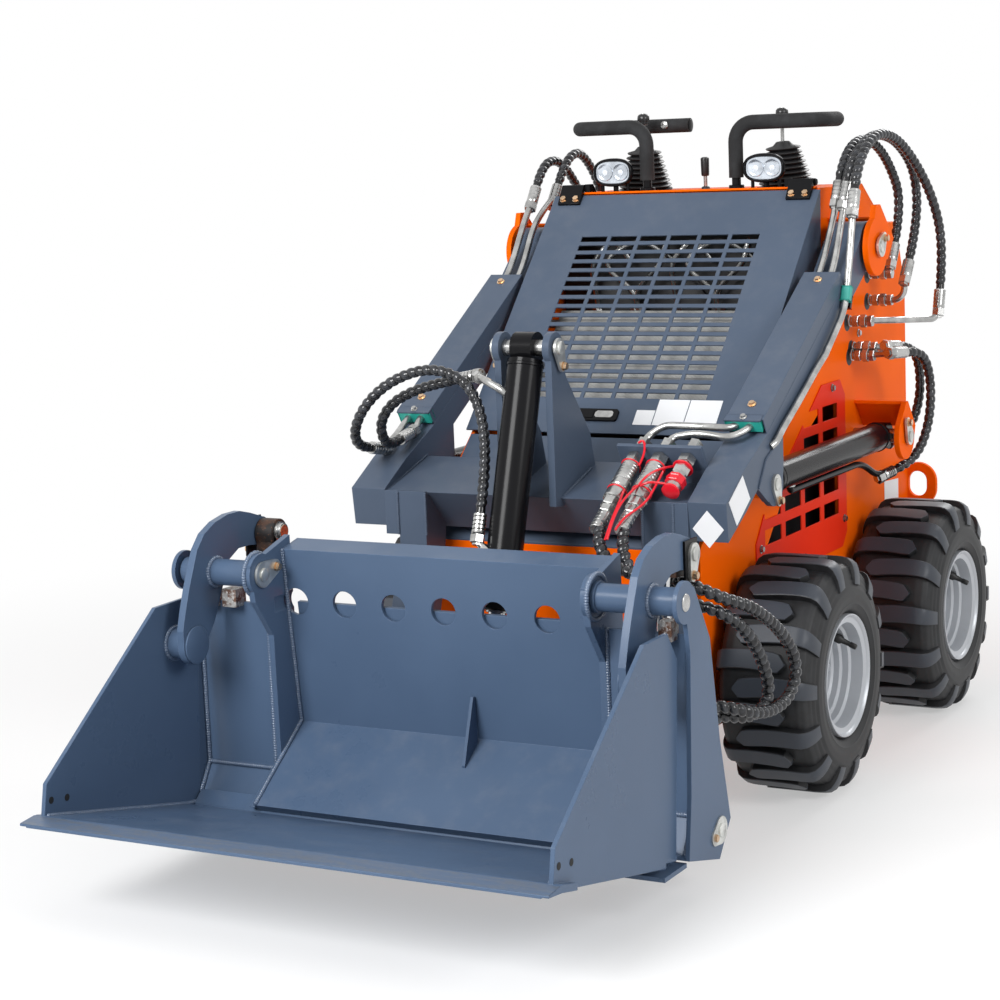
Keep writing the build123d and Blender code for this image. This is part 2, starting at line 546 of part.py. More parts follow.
with BuildPart() as covers:
    for side in (1, -1):
        slab((over_arm(COVER_START, 0), over_arm(cover_end, 0), over_arm(cover_end, COVER_HEIGHT),
              over_arm(COVER_START, COVER_HEIGHT)), side * ARM_INNER, side * ARM_OUTER)
        slab((over_arm(COVER_START - 1, -1), over_arm(cover_end + 1, -1),
              over_arm(cover_end + 1, COVER_HEIGHT - COVER_SHEET), over_arm(COVER_START - 1, COVER_HEIGHT - COVER_SHEET)),
             side * (ARM_INNER + COVER_SHEET), side * (ARM_OUTER - COVER_SHEET), mode=Mode.SUBTRACT)
save(covers.part, "arm_covers")

# hard tubes: from the tower hoses' crimps, under the covers, to the couplers and the tilt hoses
down_cover = [over_arm(-5, 10), over_arm(cover_end - 40, 18), over_arm(cover_end + 14, 20)]
coupler_backs = [[(x, y - out * COUPLER_AXIS[1], z - out * COUPLER_AXIS[2]) for out in (56, 26.3)]
                 for x, y, z in COUPLERS]
ARM_TUBES = (
    [(344, 416, 1136), (344, 389, 1083)] + [(344, *point) for point in down_cover]
    + [(300, -168, 726), (214, -176, 728)] + coupler_backs[0],
    [(370, 394, 1134), (369, 372, 1085)] + [(371, *point) for point in down_cover]
    + [(345, -172, 706), (285, -184, 716)] + coupler_backs[1],
    [(-375, 444, 1144), (-374, 389, 1083)] + [(-372, *point) for point in down_cover]
    + [(-370, -190, 693), (-370, -240, 676)],
    [(-345, 489, 1144), (-345, 436, 1116), (-345, 380, 1078)] + [(-343, *point) for point in down_cover]
    + [(-340, -160, 708), (-340, -190, 698)],
)
with BuildPart() as arm_tubes:
    for route in ARM_TUBES:
        tube(route, TUBE_R)
    tube(OUTER_ARM_TUBE, TUBE_R)
    for route in (TOWER_A, TOWER_B, TOWER_C, TOWER_D, TOWER_E):
        crimp(route)
    for route in (TILT_A, TILT_B):
        crimp(route[::-1])
save(arm_tubes.part, "arm_tubes")

beam_outline = ((-148, 650), (KNEE_FRONT[0] + 8, KNEE_FRONT[1] - 4), (-235, 525), (-150, 572))
leg_outline = (
    (-212, 598), (KNEE_FRONT[0], KNEE_FRONT[1] - 2), (KNEE_FRONT[0], 500), (-380, 330), (-440, 215),
    (HITCH_PIN[0] + 20, HITCH_PIN[1] - 38), (-338, 200), (-262, 400), (-238, 540),
)
with BuildPart() as crossbeam:
    slab(beam_outline, -ARM_INNER, ARM_INNER)
    for side in (1, -1):
        slab(leg_outline, side * LEG_INNER, side * LEG_OUTER, ((*HITCH_PIN, 42),))
        slab(((-212, 598), (KNEE_FRONT[0], KNEE_FRONT[1] - 2), (KNEE_FRONT[0], 520), (-238, 540)),
             side * LEG_OUTER, side * ARM_INNER)
        cross_bar(HITCH_PIN, PIN_R + PIN_GAP, side * (LEG_INNER - 1), side * (LEG_OUTER + 1), mode=Mode.SUBTRACT)
        slab(((TILT_TOP[0] + 5, TILT_TOP[1] + 10), (TILT_TOP[0] - 20, TILT_TOP[1]), (-330, 590), (-285, 585),
              (-160, 640), (-180, 712), (TILT_TOP[0] + 40, TILT_TOP[1] - 60)), side * 46, side * 60,
             ((*TILT_TOP, 30),))
        cross_bar(TILT_TOP, PIN_R, side * 45, side * 61, mode=Mode.SUBTRACT)
    plate = Plane(origin=CAPPED_COUPLER, x_dir=(1, 0, 0), z_dir=COUPLER_AXIS)
    with BuildSketch(plate) as bracket:
        with Locations(((BRACKET_X[0] + BRACKET_X[1]) / 2 - CAPPED_COUPLER[0], -6)):
            Rectangle(BRACKET_X[1] - BRACKET_X[0], BRACKET_HEIGHT)
        for x, _, _ in (*COUPLERS, CAPPED_COUPLER):
            with Locations((x - CAPPED_COUPLER[0], 0)):
                Circle(NECK_R, mode=Mode.SUBTRACT)
    extrude(bracket.sketch, amount=4, both=True)
    slab(((-224, 655), (-212, 650), (-205, 620), (-225, 615)), *BRACKET_X)
save(crossbeam.part, "crossbeam")

with BuildPart() as couplers:
    for x, y, z in COUPLERS:
        for start, length, radius in COUPLER_STEPS:
            rod(Vector(x, y, z) + Vector(*COUPLER_AXIS) * start, COUPLER_AXIS, length, radius)
    for start, length, radius in CAPPED_STEPS:
        rod(Vector(*CAPPED_COUPLER) + Vector(*COUPLER_AXIS) * start, COUPLER_AXIS, length, radius)
save(couplers.part, "quick_couplers")

with BuildPart() as tilt_hoses:
    hose("tilt hose A", TILT_A)
    hose("tilt hose B", TILT_B)
save(tilt_hoses.part, "tilt_hoses")

with BuildPart() as tilt_pin:
    cross_bar(TILT_TOP, PIN_R, -64, 64)
save(tilt_pin.part, "tilt_pin")

# ================================================================ hydraulic cylinders
def cylinder(name, x, base, eye, barrel_r, rod_r, head_gap, eye_r, eye_half, reach, draw, tubes=(), hoses=()):
    """A barrel that turns on its base pin and a rod with its own stub pin, which reaches out and draws in."""
    length = hypot(eye[0] - base[0], eye[1] - base[1])
    head = length - head_gap
    inside = reach + ROD_OVERLAP
    with BuildPart() as barrel:
        strut(x, along(base, eye, eye_r - 6), along(base, eye, head), barrel_r)
        strut(x, along(base, eye, head - inside - draw - BORE_SPARE), along(base, eye, head + 1),
              rod_r + BORE_GAP, mode=Mode.SUBTRACT)
        cross_bar(base, eye_r, x - eye_half, x + eye_half)
        cross_bar(base, PIN_R + PIN_GAP, x - eye_half - 1, x + eye_half + 1, mode=Mode.SUBTRACT)
        for route in tubes:
            tube(route, TUBE_R)
        for route, crimp_length in hoses:
            crimp(route, crimp_length)
    save(barrel.part, f"{name}_barrel")
    with BuildPart() as rod:
        strut(x, along(base, eye, head - inside), along(base, eye, length - eye_r + 6), rod_r)
        cross_bar(eye, eye_r, x - eye_half, x + eye_half)
    save(rod.part, f"{name}_rod")


arm_middle = (ARM_INNER + ARM_OUTER) / 2
for word, side in LEFT_RIGHT:
    flip = list if side > 0 else mirrored
    cylinder(f"lift_{word}", side * arm_middle, LIFT_BASE, LIFT_EYE, LIFT_BARREL_R, LIFT_ROD_R, 62, 28, 18,
             reach=395, draw=0, tubes=(flip(LIFT_PORT),), hoses=((flip(LIFT_A), CRIMP), (flip(LIFT_B), 50)))
    cylinder(f"jaw_{word}", side * JAW_CYLINDER_X, JAW_BASE, JAW_EYE, JAW_BARREL_R, JAW_ROD_R, 200, 24, 15,
             reach=0, draw=153, hoses=((JAW_A, 45), (JAW_B, 52)) if side > 0 else ())
cylinder("tilt", 0.0, TILT_TOP, TILT_EYE, TILT_BARREL_R, TILT_ROD_R, 120, 30, 22, reach=201, draw=26,
         tubes=(TILT_ELBOW, TILT_FOOT), hoses=((TILT_A, CRIMP), (TILT_B, CRIMP)))

with BuildPart() as jaw_hoses:
    hose("jaw hose A", JAW_A)
    hose("jaw hose B", JAW_B)
save(jaw_hoses.part, "jaw_hoses")

# ================================================================ hitch and the bucket's back half
def hitch_face(distance, depth=14.0):
    """The (y, z) point at a distance up the bucket's back and a depth behind it."""
    return square_off(BACK_FOLD, BACK_TOP, distance, -depth)


with BuildPart() as hitch:
    slab((hitch_face(-40, 9), hitch_face(230, 9), hitch_face(230, 19), hitch_face(-40, 19)), -315, 315)
    for side in (1, -1):
        for x_from in (LEG_INNER - 15, LEG_OUTER + 3):
            slab((hitch_face(-30), hitch_face(80), (-470, 290), (HITCH_PIN[0], HITCH_PIN[1] + 36),
                  (HITCH_PIN[0], HITCH_PIN[1] - 36)), side * x_from, side * (x_from + 12), ((*HITCH_PIN, 36),))
        slab((hitch_face(20), hitch_face(160), (TILT_EYE[0], TILT_EYE[1] + 34), (TILT_EYE[0], TILT_EYE[1] - 34)),
             side * 34, side * 46, ((*TILT_EYE, 34),))
save(hitch.part, "hitch")

with BuildPart() as hitch_pins:
    for side in (1, -1):
        cross_bar(HITCH_PIN, PIN_R, side * (LEG_INNER - 3), side * (LEG_OUTER + 3))
save(hitch_pins.part, "hitch_pins")

back_outline = (
    BACK_TOP, BACK_FOLD, FLOOR_FRONT, (FLOOR_FRONT[0] + 14, FLOOR_FRONT[1] - 14),
    (BACK_FOLD[0] + 8, BACK_FOLD[1] - 8), (BACK_TOP[0] + 8, BACK_TOP[1]),
)
outer_outline = ((-742, 530), (-722, 429), (-733, 189), (-748, 82), (-625, 50), (-575, 109), (-612, 258),
                 (-642, 437), (-700, 535))
ear_outline = ((-770, 535), (-640, 572), (-633, 200), (-705, 150), (-708, 398), (-758, 468))
with BuildPart() as back:
    slab(back_outline, -BACK_HALF, BACK_HALF)
    slab((BACK_TOP, (BACK_TOP[0] + 52, BACK_TOP[1] + 12), (BACK_TOP[0] + 52, BACK_TOP[1] - 48),
          (BACK_TOP[0] + 6, BACK_TOP[1] - 55)), -BACK_HALF, BACK_HALF)
    for side in (1, -1):
        slab(ear_outline, side * BACK_HALF, side * (BACK_HALF + INNER_EAR), ((*JAW_PIVOT, 38),))
        slab(((-633, 210), (-798, 100), (-748, 78), (-625, 48), (-575, 109), (-600, 240)),
             side * BACK_HALF, side * (BACK_HALF + INNER_EAR))
        slab(((-703, 140), (-703, WEB_TOP), (-695, WEB_TOP), (-695, 140)), side * (BACK_HALF + INNER_EAR),
             side * OUTER_PLATE_X)
        slab(((-725, WEB_TOP - 6), (-725, WEB_TOP + 25), (-695, WEB_TOP + 25), (-695, WEB_TOP - 6)), side * 396,
             side * 427)
        slab(((-740, 88), (-703, 146), (-695, 140), (-730, 88)), side * (BACK_HALF + INNER_EAR),
             side * OUTER_PLATE_X)
        slab(((-748, 82), (-625, 50), (-621, 58), (-744, 90)), side * (BACK_HALF + INNER_EAR), side * OUTER_PLATE_X)
        slab(((-828, 69), (-828, 77), (-742, 77), (-742, 69)), side * EDGE_HALF, side * OUTER_PLATE_X)
        slab(outer_outline, side * OUTER_PLATE_X, side * (OUTER_PLATE_X + 8), ((*JAW_PIVOT, 36),))
        for centre in (JAW_PIVOT, JAW_BASE):
            cross_bar(centre, PIN_R, side * (BACK_HALF - 1), side * (OUTER_PLATE_X + 9), mode=Mode.SUBTRACT)
    slab(((-784, 90), (-790, 77), (-828, 77), (-828, 69), (-742, 69), (-730, 88), (-760, 110)), -EDGE_HALF, EDGE_HALF)
    for i in range(HOLES):
        x = (i - (HOLES - 1) / 2) * HOLE_PITCH
        with BuildSketch(Plane.XZ) as hole:
            with Locations((x, HOLE_Z)):
                Circle(HOLE_R)
        extrude(hole.sketch, amount=700, mode=Mode.SUBTRACT)
save(back.part, "bucket_back")

with BuildPart() as jaw_pins:
    for side in (1, -1):
        cross_bar(JAW_PIVOT, PIN_R, side * BACK_HALF, side * (OUTER_PLATE_X + 10))
        cross_bar(JAW_BASE, PIN_R, side * BACK_HALF, side * (OUTER_PLATE_X + 10))
save(jaw_pins.part, "jaw_pins")

# ================================================================ jaw: the bucket's front half
floor_outline = ((-800, 92), (-800, 83), (-1194, 166), (-1233, 168), (-1233, 172), (-1190, 178), (-1100, 158))
jaw_side = ((-858, 469), (-1183, 231), (-1194, 176), (-800, 92), (-760, 84), (-735, 420), (-770, 470))
with BuildPart() as jaw:
    slab(floor_outline, -JAW_HALF, JAW_HALF)
    slab(((-1140, 154), (-1140, 166), (-1190, 178), (-1233, 174), (-1233, 170), (-1190, 165)), -LIP_HALF, LIP_HALF)
    for side in (1, -1):
        slab(jaw_side, side * (JAW_HALF - 8), side * JAW_HALF)
save(jaw.part, "jaw_shell")

sickle_outline = (
    (JAW_EYE[0], JAW_EYE[1] - 26), (-625, 545), (-660, 545), (-695, 528), (-718, 480), (-746, 427), (-772, 394),
    (-842, 394), (-843, 425), (-831, 463), (-818, 497), (-803, 530), (-787, 564), (-763, 589), (-728, 605),
    (-687, 613), (-649, 613), (-618, 605), (JAW_EYE[0] + 3, JAW_EYE[1] + 26),
)
with BuildPart() as sickles:
    for side in (1, -1):
        slab(sickle_outline, side * SICKLE_X[0], side * SICKLE_X[1], ((*JAW_PIVOT, 36), (*JAW_FOOT, 36), (*JAW_EYE, 26)))
        cross_bar(JAW_PIVOT, 24, side * (BACK_HALF + INNER_EAR + 3), side * (OUTER_PLATE_X - 3))
        cross_bar(JAW_FOOT, 28, side * SICKLE_X[1], side * (JAW_HALF - 8))
        cross_bar(JAW_PIVOT, PIN_R + PIN_GAP, side * (BACK_HALF + INNER_EAR), side * OUTER_PLATE_X,
                  mode=Mode.SUBTRACT)
save(sickles.part, "jaw_arms")

# ================================================================ wheels
WHEELS = (("front_left", 1.0, 0.0), ("front_right", -1.0, 0.0), ("rear_left", 1.0, 1.0), ("rear_right", -1.0, 1.0))
for word, side, row in WHEELS:
    axle_y = FRONT_AXLE_Y + row * WHEELBASE
    section = Plane(origin=(side * TRACK_HALF, axle_y, TYRE_R), x_dir=(side, 0, 0), z_dir=(0, side, 0))
    axis = Axis((0, axle_y, TYRE_R), (1, 0, 0))
    with BuildPart() as tyre:
        with BuildSketch(section):
            with BuildLine():
                Polyline((-TREAD_W / 2, TYRE_R - 12), (-60, TYRE_R), (60, TYRE_R), (TREAD_W / 2, TYRE_R - 12))
                ThreePointArc((TREAD_W / 2, TYRE_R - 12), (TYRE_W / 2, 165), (84, RIM_FLANGE_R + 1))
                Polyline((84, RIM_FLANGE_R + 1), (84, BEAD_R), (-84, BEAD_R), (-84, RIM_FLANGE_R + 1))
                ThreePointArc((-84, RIM_FLANGE_R + 1), (-TYRE_W / 2, 165), (-TREAD_W / 2, TYRE_R - 12))
            make_face()
        revolve(axis=axis)
    save(tyre.part, f"tyre_{word}")
    with BuildPart() as rim:
        with BuildSketch(section):
            with BuildLine():
                Polyline((96, RIM_FLANGE_R), (85, RIM_FLANGE_R), (85, BEAD_R), (-85, BEAD_R), (-85, RIM_FLANGE_R),
                         (-94, RIM_FLANGE_R), (-94, BEAD_R - RIM_WALL), (4, BEAD_R - RIM_WALL), (4, HUB_R),
                         (-60, HUB_R), (-60, AXLE_R + AXLE_GAP), (34, AXLE_R + AXLE_GAP), (34, HUB_R - 8),
                         (14, HUB_R), (14, BEAD_R - RIM_WALL - 12), (40, BEAD_R - RIM_WALL), (96, BEAD_R), close=True)
            make_face()
        revolve(axis=axis)
    save(rim.part, f"rim_{word}")
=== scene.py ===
"""A wheeled mini loader with a four-in-one bucket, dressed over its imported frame."""

import json
import math

import bmesh
import bpy
from mathutils import Matrix, Vector

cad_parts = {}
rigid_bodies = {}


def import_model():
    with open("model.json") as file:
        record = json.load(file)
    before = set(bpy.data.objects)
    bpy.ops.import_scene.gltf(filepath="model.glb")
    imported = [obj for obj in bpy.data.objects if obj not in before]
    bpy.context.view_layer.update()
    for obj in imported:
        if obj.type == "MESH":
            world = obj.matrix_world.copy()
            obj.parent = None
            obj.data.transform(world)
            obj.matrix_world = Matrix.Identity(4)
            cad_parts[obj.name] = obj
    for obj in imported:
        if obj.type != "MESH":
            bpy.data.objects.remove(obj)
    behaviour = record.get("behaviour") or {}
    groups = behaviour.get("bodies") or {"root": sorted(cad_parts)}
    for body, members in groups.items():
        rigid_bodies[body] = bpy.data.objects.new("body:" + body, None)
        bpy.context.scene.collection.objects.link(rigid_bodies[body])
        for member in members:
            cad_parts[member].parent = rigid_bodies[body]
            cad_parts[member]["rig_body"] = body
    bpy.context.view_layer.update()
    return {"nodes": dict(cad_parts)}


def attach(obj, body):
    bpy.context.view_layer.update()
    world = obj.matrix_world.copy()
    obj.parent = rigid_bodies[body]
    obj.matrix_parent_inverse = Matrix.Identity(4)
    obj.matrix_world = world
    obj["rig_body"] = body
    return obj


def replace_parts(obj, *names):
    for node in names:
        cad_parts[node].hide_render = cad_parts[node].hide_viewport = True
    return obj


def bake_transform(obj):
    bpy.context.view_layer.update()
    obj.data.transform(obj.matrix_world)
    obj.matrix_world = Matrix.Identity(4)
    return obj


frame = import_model()

# ---------------------------------------------------------------- camera
# A studio camera stands ahead of the bucket on the loader's left, a little over its
# engine hood, and looks down along it through a portrait lens.
camera_at = Vector((2.0475, -4.1071, 1.2713))
camera_yaw, camera_pitch, camera_roll = 0.5088, 0.1543, -0.0405
lens_data = bpy.data.cameras.new("studio_camera")
lens_data.sensor_width = 36.0
lens_data.lens = 83.49
lens_data.clip_end = 60.0
camera = bpy.data.objects.new("studio_camera", lens_data)
bpy.context.scene.collection.objects.link(camera)
ahead = Vector((-math.sin(camera_yaw) * math.cos(camera_pitch),
                math.cos(camera_yaw) * math.cos(camera_pitch), -math.sin(camera_pitch)))
level = Vector((math.cos(camera_yaw), math.sin(camera_yaw), 0.0))
upward = level.cross(ahead)
camera_right = level * math.cos(camera_roll) + upward * math.sin(camera_roll)
camera_up = upward * math.cos(camera_roll) - level * math.sin(camera_roll)
camera.matrix_world = Matrix((
    (camera_right.x, camera_up.x, -ahead.x, camera_at.x),
    (camera_right.y, camera_up.y, -ahead.y, camera_at.y),
    (camera_right.z, camera_up.z, -ahead.z, camera_at.z),
    (0.0, 0.0, 0.0, 1.0)))
bpy.context.scene.camera = camera
bpy.context.scene.view_settings.view_transform = "Standard"


# ---------------------------------------------------------------- finishes
# Every finish is a tree of nodes. Flow wraps one socket, so that sums on it add their
# Math nodes, and Finish adds any other node and closes the tree with its surface.
def wired(tree, kind, settings, values, named):
    """A node with its settings, then its sockets by order and by name, each linked or set."""
    node = tree.nodes.new(kind)
    for key, value in settings.items():
        setattr(node, key, value)
    sockets = [s for s in node.inputs if s.enabled]
    by_name = [(next(s for s in sockets if s.name == key.replace("_", " ")), value) for key, value in named.items()]
    for socket, value in [*zip(sockets, values), *by_name]:
        value = value.socket if isinstance(value, Flow) else value
        if isinstance(value, bpy.types.NodeSocket):
            tree.links.new(value, socket)
        elif value is not None:
            opaque = socket.type == "RGBA" and len(value) == 3
            socket.default_value = (*value, 1.0) if opaque else value
    return node


def given(node, output):
    """One output of a node, by its name or by its place among those in use."""
    return [s for s in node.outputs if s.enabled][output] if isinstance(output, int) else node.outputs[output]


class Flow:
    def __init__(self, finish, socket):
        self.finish, self.socket = finish, socket

    def _math(self, operation, *values):
        return self.finish.node("ShaderNodeMath", {"operation": operation}, 0, *values)

    def __add__(self, other):
        return self._math("ADD", self, other)

    def __sub__(self, other):
        return self._math("SUBTRACT", self, other)

    def __rsub__(self, other):
        return self._math("SUBTRACT", other, self)

    def __mul__(self, other):
        return self._math("MULTIPLY", self, other)

    __radd__, __rmul__ = __add__, __mul__

    def top(self, other):
        return self._math("MAXIMUM", self, other)

    def repeat(self):
        return self._math("FRACT", self)

    def ramp(self, low, high):
        """0 below low, 1 above high, smooth between."""
        return self.finish.node("ShaderNodeMapRange", {"interpolation_type": "SMOOTHSTEP"}, 0,
                                self, low, high, 0.0, 1.0)


class Finish:
    def __init__(self, name, owner=None):
        self.material = owner or bpy.data.materials.new(name)
        self.material.use_nodes = True
        self.tree = self.material.node_tree
        self.tree.nodes.clear()
        self.place = self.node("ShaderNodeTexCoord", {}, "Object")

    def node(self, kind, settings, output, *values, **named):
        return Flow(self, given(wired(self.tree, kind, settings, values, named), output))

    def noise(self, scale, detail=3.0, rough=0.5, place=None):
        return self.node("ShaderNodeTexNoise", {}, 0, Vector=place or self.place,
                         Scale=scale, Detail=detail, Roughness=rough)

    def stretched(self, x, y, z):
        """The object's own coordinates, each multiplied."""
        return self.node("ShaderNodeVectorMath", {"operation": "MULTIPLY"}, 0, self.place, (x, y, z))

    def axis(self, letter, place=None):
        return self.node("ShaderNodeSeparateXYZ", {}, letter, place or self.place)

    def blend(self, share, first, second):
        """A colour between two colours."""
        return self.node("ShaderNodeMix", {"data_type": "RGBA"}, 0, share, first, second)

    def bump(self, height, depth, distance=0.001, normal=None):
        return self.node("ShaderNodeBump", {}, 0, Strength=depth, Distance=distance, Height=height,
                         Normal=normal)

    def facing_up(self):
        return self.axis("Z", self.node("ShaderNodeNewGeometry", {}, "Normal"))

    def seen_by(self, *rays):
        """1 for any of these kinds of ray, 0 for the others."""
        found = [self.node("ShaderNodeLightPath", {}, f"Is {ray} Ray") for ray in rays]
        for other in found[1:]:
            found[0] = found[0].top(other)
        return found[0]

    def output(self, surface, kind="ShaderNodeOutputMaterial"):
        self.tree.links.new(surface.socket, self.tree.nodes.new(kind).inputs["Surface"])
        return self.material

    def close(self, color, roughness, normal=None, **fixed):
        """The surface: what varies is linked, what is the same all over is set on its socket."""
        return self.output(self.node("ShaderNodeBsdfPrincipled", {}, 0, Base_Color=color, Roughness=roughness,
                                     Normal=normal, **fixed))


# ---------------------------------------------------------------- studio
# A pale floor that fades to white, one broad lamp over the left shoulder of the camera,
# a weaker one on the right and one behind, under a bright even sky.
bpy.ops.mesh.primitive_plane_add(size=24.0, location=(0.0, 0.0, 0.0))
floor = bpy.context.object
floor.name = "studio_floor"
floor_finish = Finish("studio_floor")
distance = floor_finish.node("ShaderNodeVectorMath", {"operation": "LENGTH"}, "Value", floor_finish.place)
whitened = floor_finish.seen_by("Camera", "Glossy") * (distance.ramp(1.1, 3.0) * 0.56 + 0.44)
pale = floor_finish.node("ShaderNodeBsdfDiffuse", {}, 0, (0.88, 0.88, 0.88))
white = floor_finish.node("ShaderNodeEmission", {}, 0, (1.0, 1.0, 1.0), 1.0)
floor.data.materials.append(floor_finish.output(floor_finish.node("ShaderNodeMixShader", {}, 0, whitened, pale, white)))

sky = Finish("studio_sky", bpy.data.worlds.new("studio_sky"))
bpy.context.scene.world = sky.material
bright = sky.node("ShaderNodeBackground", {}, 0, Strength=0.55)
white_sky = sky.node("ShaderNodeBackground", {}, 0, Color=(1.0, 1.0, 1.0))
sky.output(sky.node("ShaderNodeMixShader", {}, 0, sky.seen_by("Camera", "Glossy", "Transmission"), bright, white_sky),
           "ShaderNodeOutputWorld")

aimed_at = Vector((0.0, 0.0, 0.5))
for lamp_name, lamp_at, lamp_size, lamp_watts in (
        ("key_lamp", (-0.9, -4.8, 3.3), 2.6, 280.0), ("side_lamp", (4.4, -1.2, 2.8), 2.2, 85.0),
        ("back_lamp", (0.5, 4.6, 3.6), 2.6, 110.0)):
    lamp_data = bpy.data.lights.new(lamp_name, "AREA")
    lamp_data.shape, lamp_data.size, lamp_data.energy = "DISK", lamp_size, lamp_watts
    lamp = bpy.data.objects.new(lamp_name, lamp_data)
    bpy.context.scene.collection.objects.link(lamp)
    lamp.location = lamp_at
    lamp.rotation_euler = (aimed_at - lamp.location).to_track_quat("-Z", "Y").to_euler()


# ---------------------------------------------------------------- painted plate work
# The body, the arms and the bucket are bent and welded steel plate, powder coated in
# orange, slate grey or red. Every plate edge but the hood's is broken by a small radius.
def powder_coat(name, color, deep, gloss, shine=0.42, coat_share=0.10):
    """Powder coat: a fine orange-peel skin, thin dust on what faces up, and a painted highlight along its edges in
    patches.
    """
    coat = Finish(name)
    cloud = coat.noise(3.1, 4.0)
    grime_and_highlight_patches = coat.noise(17.0, 6.0, 0.62)
    speck = coat.noise(260.0, 2.0)
    normal = coat.node("ShaderNodeBevel", {"samples": 4}, 0, 0.0016)
    plain = coat.node("ShaderNodeNewGeometry", {}, "Normal")
    along = coat.node("ShaderNodeVectorMath", {"operation": "DOT_PRODUCT"}, "Value", normal, plain)
    # Painted highlight: where the bevelled normal turns from the face, the colour is lightened in patches.
    edge = (1.0 - along).ramp(0.01, 0.12) * grime_and_highlight_patches.ramp(0.34, 0.62)
    dust = coat.facing_up().ramp(0.35, 0.95) * grime_and_highlight_patches.ramp(0.42, 0.78) * 0.08
    body = coat.blend(cloud.ramp(0.32, 0.72), deep, color)
    body = coat.blend(edge * 0.42, body, tuple(min(1.0, c * 1.9 + 0.035) for c in color))
    body = coat.blend(dust, body, (0.42, 0.40, 0.37))
    skin = coat.bump(speck + grime_and_highlight_patches * 0.6, 0.09, 0.0006, normal)
    rough = cloud * 0.10 + grime_and_highlight_patches * 0.09 + (gloss - 0.08) + dust * 0.8
    return coat.close(body, rough, skin, Specular_IOR_Level=shine, Coat_Weight=coat_share, Coat_Roughness=0.18)


orange_coat = powder_coat("orange_coat", (0.98, 0.142, 0.002), (0.93, 0.12, 0.001), 0.36, 0.025, 0.0)
slate_coat = powder_coat("slate_coat", (0.08, 0.107, 0.156), (0.07, 0.095, 0.14), 0.32, 0.15, 0.02)
bucket_coat = powder_coat("bucket_coat", (0.078, 0.122, 0.20), (0.068, 0.108, 0.18), 0.28, 0.18, 0.05)
red_coat = powder_coat("red_coat", (0.84, 0.036, 0.01), (0.76, 0.028, 0.008), 0.38, 0.06, 0.0)


WELD_GAP = 0.00002


def placed(name, mesh, body, finish=None, smooth=None):
    """A piece from a mesh that stands in its place: smoothed if asked, in its finish and on its body."""
    if smooth is not None:
        mesh.shade_smooth()
        mesh.set_sharp_from_angle(angle=math.radians(smooth))
    if finish:
        mesh.materials.append(finish)
    piece = bpy.data.objects.new(name, mesh)
    bpy.context.scene.collection.objects.link(piece)
    if body:
        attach(piece, body)
    return piece


def dressed(node, finish, smooth=34.0, edge=0.0009):
    """A welded-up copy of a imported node, with smooth round faces and broken edges, in its finish."""
    source = frame["nodes"][node]
    mesh = source.data.copy()
    mesh.name = node + "_dressed"
    work = bmesh.new()
    work.from_mesh(mesh)
    bmesh.ops.remove_doubles(work, verts=work.verts, dist=WELD_GAP)
    bmesh.ops.dissolve_limit(work, angle_limit=math.radians(0.4), verts=work.verts, edges=work.edges,
                             delimit={"NORMAL"})
    work.to_mesh(mesh)
    work.free()
    mesh.materials.clear()
    piece = placed(node + "_dressed", mesh, source["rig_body"], finish, smooth)
    if edge:
        broken = piece.modifiers.new("broken_edges", "BEVEL")
        broken.width, broken.segments = edge, 2
        broken.limit_method, broken.angle_limit = "ANGLE", math.radians(smooth)
        broken.use_clamp_overlap = True
        even = piece.modifiers.new("flat_faces", "WEIGHTED_NORMAL")
        even.mode, even.weight, even.keep_sharp = "FACE_AREA", 100, True
    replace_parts(piece, node)


for node_name in ("frame", "tower_ears", "deck_and_rear_cover"):
    dressed(node_name, orange_coat)
dressed("vent_panels", red_coat, edge=0.0006)
dressed("lower_front_plate", slate_coat)
for node_name in ("arm_left", "arm_right", "arm_covers", "crossbeam"):
    dressed(node_name, slate_coat, smooth=20.0)
for node_name in ("hitch", "bucket_back", "jaw_shell", "jaw_arms"):
    dressed(node_name, bucket_coat, smooth=14.0)
dressed("hood", slate_coat, edge=0.0)


# ---------------------------------------------------------------- engine bay
# The engine stays one plain black block. An aluminium oil cooler stands right behind the
# lower half of the hood's grille, with steel pipes over it, all ahead of a dark shroud.
def meshed(name, work):
    """The mesh of a finished shape, its faces turned outwards."""
    bmesh.ops.recalc_face_normals(work, faces=work.faces)
    mesh = bpy.data.meshes.new(name)
    work.to_mesh(mesh)
    work.free()
    return mesh


def made(name, work, finish, body, smooth=40.0):
    """A piece from a finished shape: welded, faced outwards, smoothed, and riding on its body."""
    bmesh.ops.remove_doubles(work, verts=work.verts, dist=WELD_GAP)
    return placed(name, meshed(name, work), body, finish, smooth)


def circle(work, centre, across, other, radius, sides, roll=0.0):
    """Vertices in a circle round a centre, in the plane of two directions."""
    return [work.verts.new(centre + (across * math.cos(a) + other * math.sin(a)) * radius)
            for a in (roll + math.tau * i / sides for i in range(sides))]


def bridged(work, rings, ends=(True, True)):
    """Faces from each ring of vertices to the next, and over the first and last if asked."""
    for one, two in zip(rings, rings[1:]):
        for i in range(len(one)):
            work.faces.new((one[i], one[(i + 1) % len(one)], two[(i + 1) % len(one)], two[i]))
    if ends[0]:
        work.faces.new(rings[0][::-1])
    if ends[1]:
        work.faces.new(rings[-1])


def turned(work, profile, start, toward, sides=24, roll=0.0):
    """A turned part on an axis: profile is (distance along it, radius), closed at both ends."""
    toward = Vector(toward).normalized()
    across = toward.orthogonal().normalized()
    other = toward.cross(across)
    bridged(work, [circle(work, Vector(start) + toward * distance, across, other, radius, sides, roll)
                   for distance, radius in profile])


def carried(side, ahead):
    """A direction square to the way ahead, turned as little as can be from the last one."""
    return ahead.orthogonal().normalized() if side is None else (side - ahead * side.dot(ahead)).normalized()


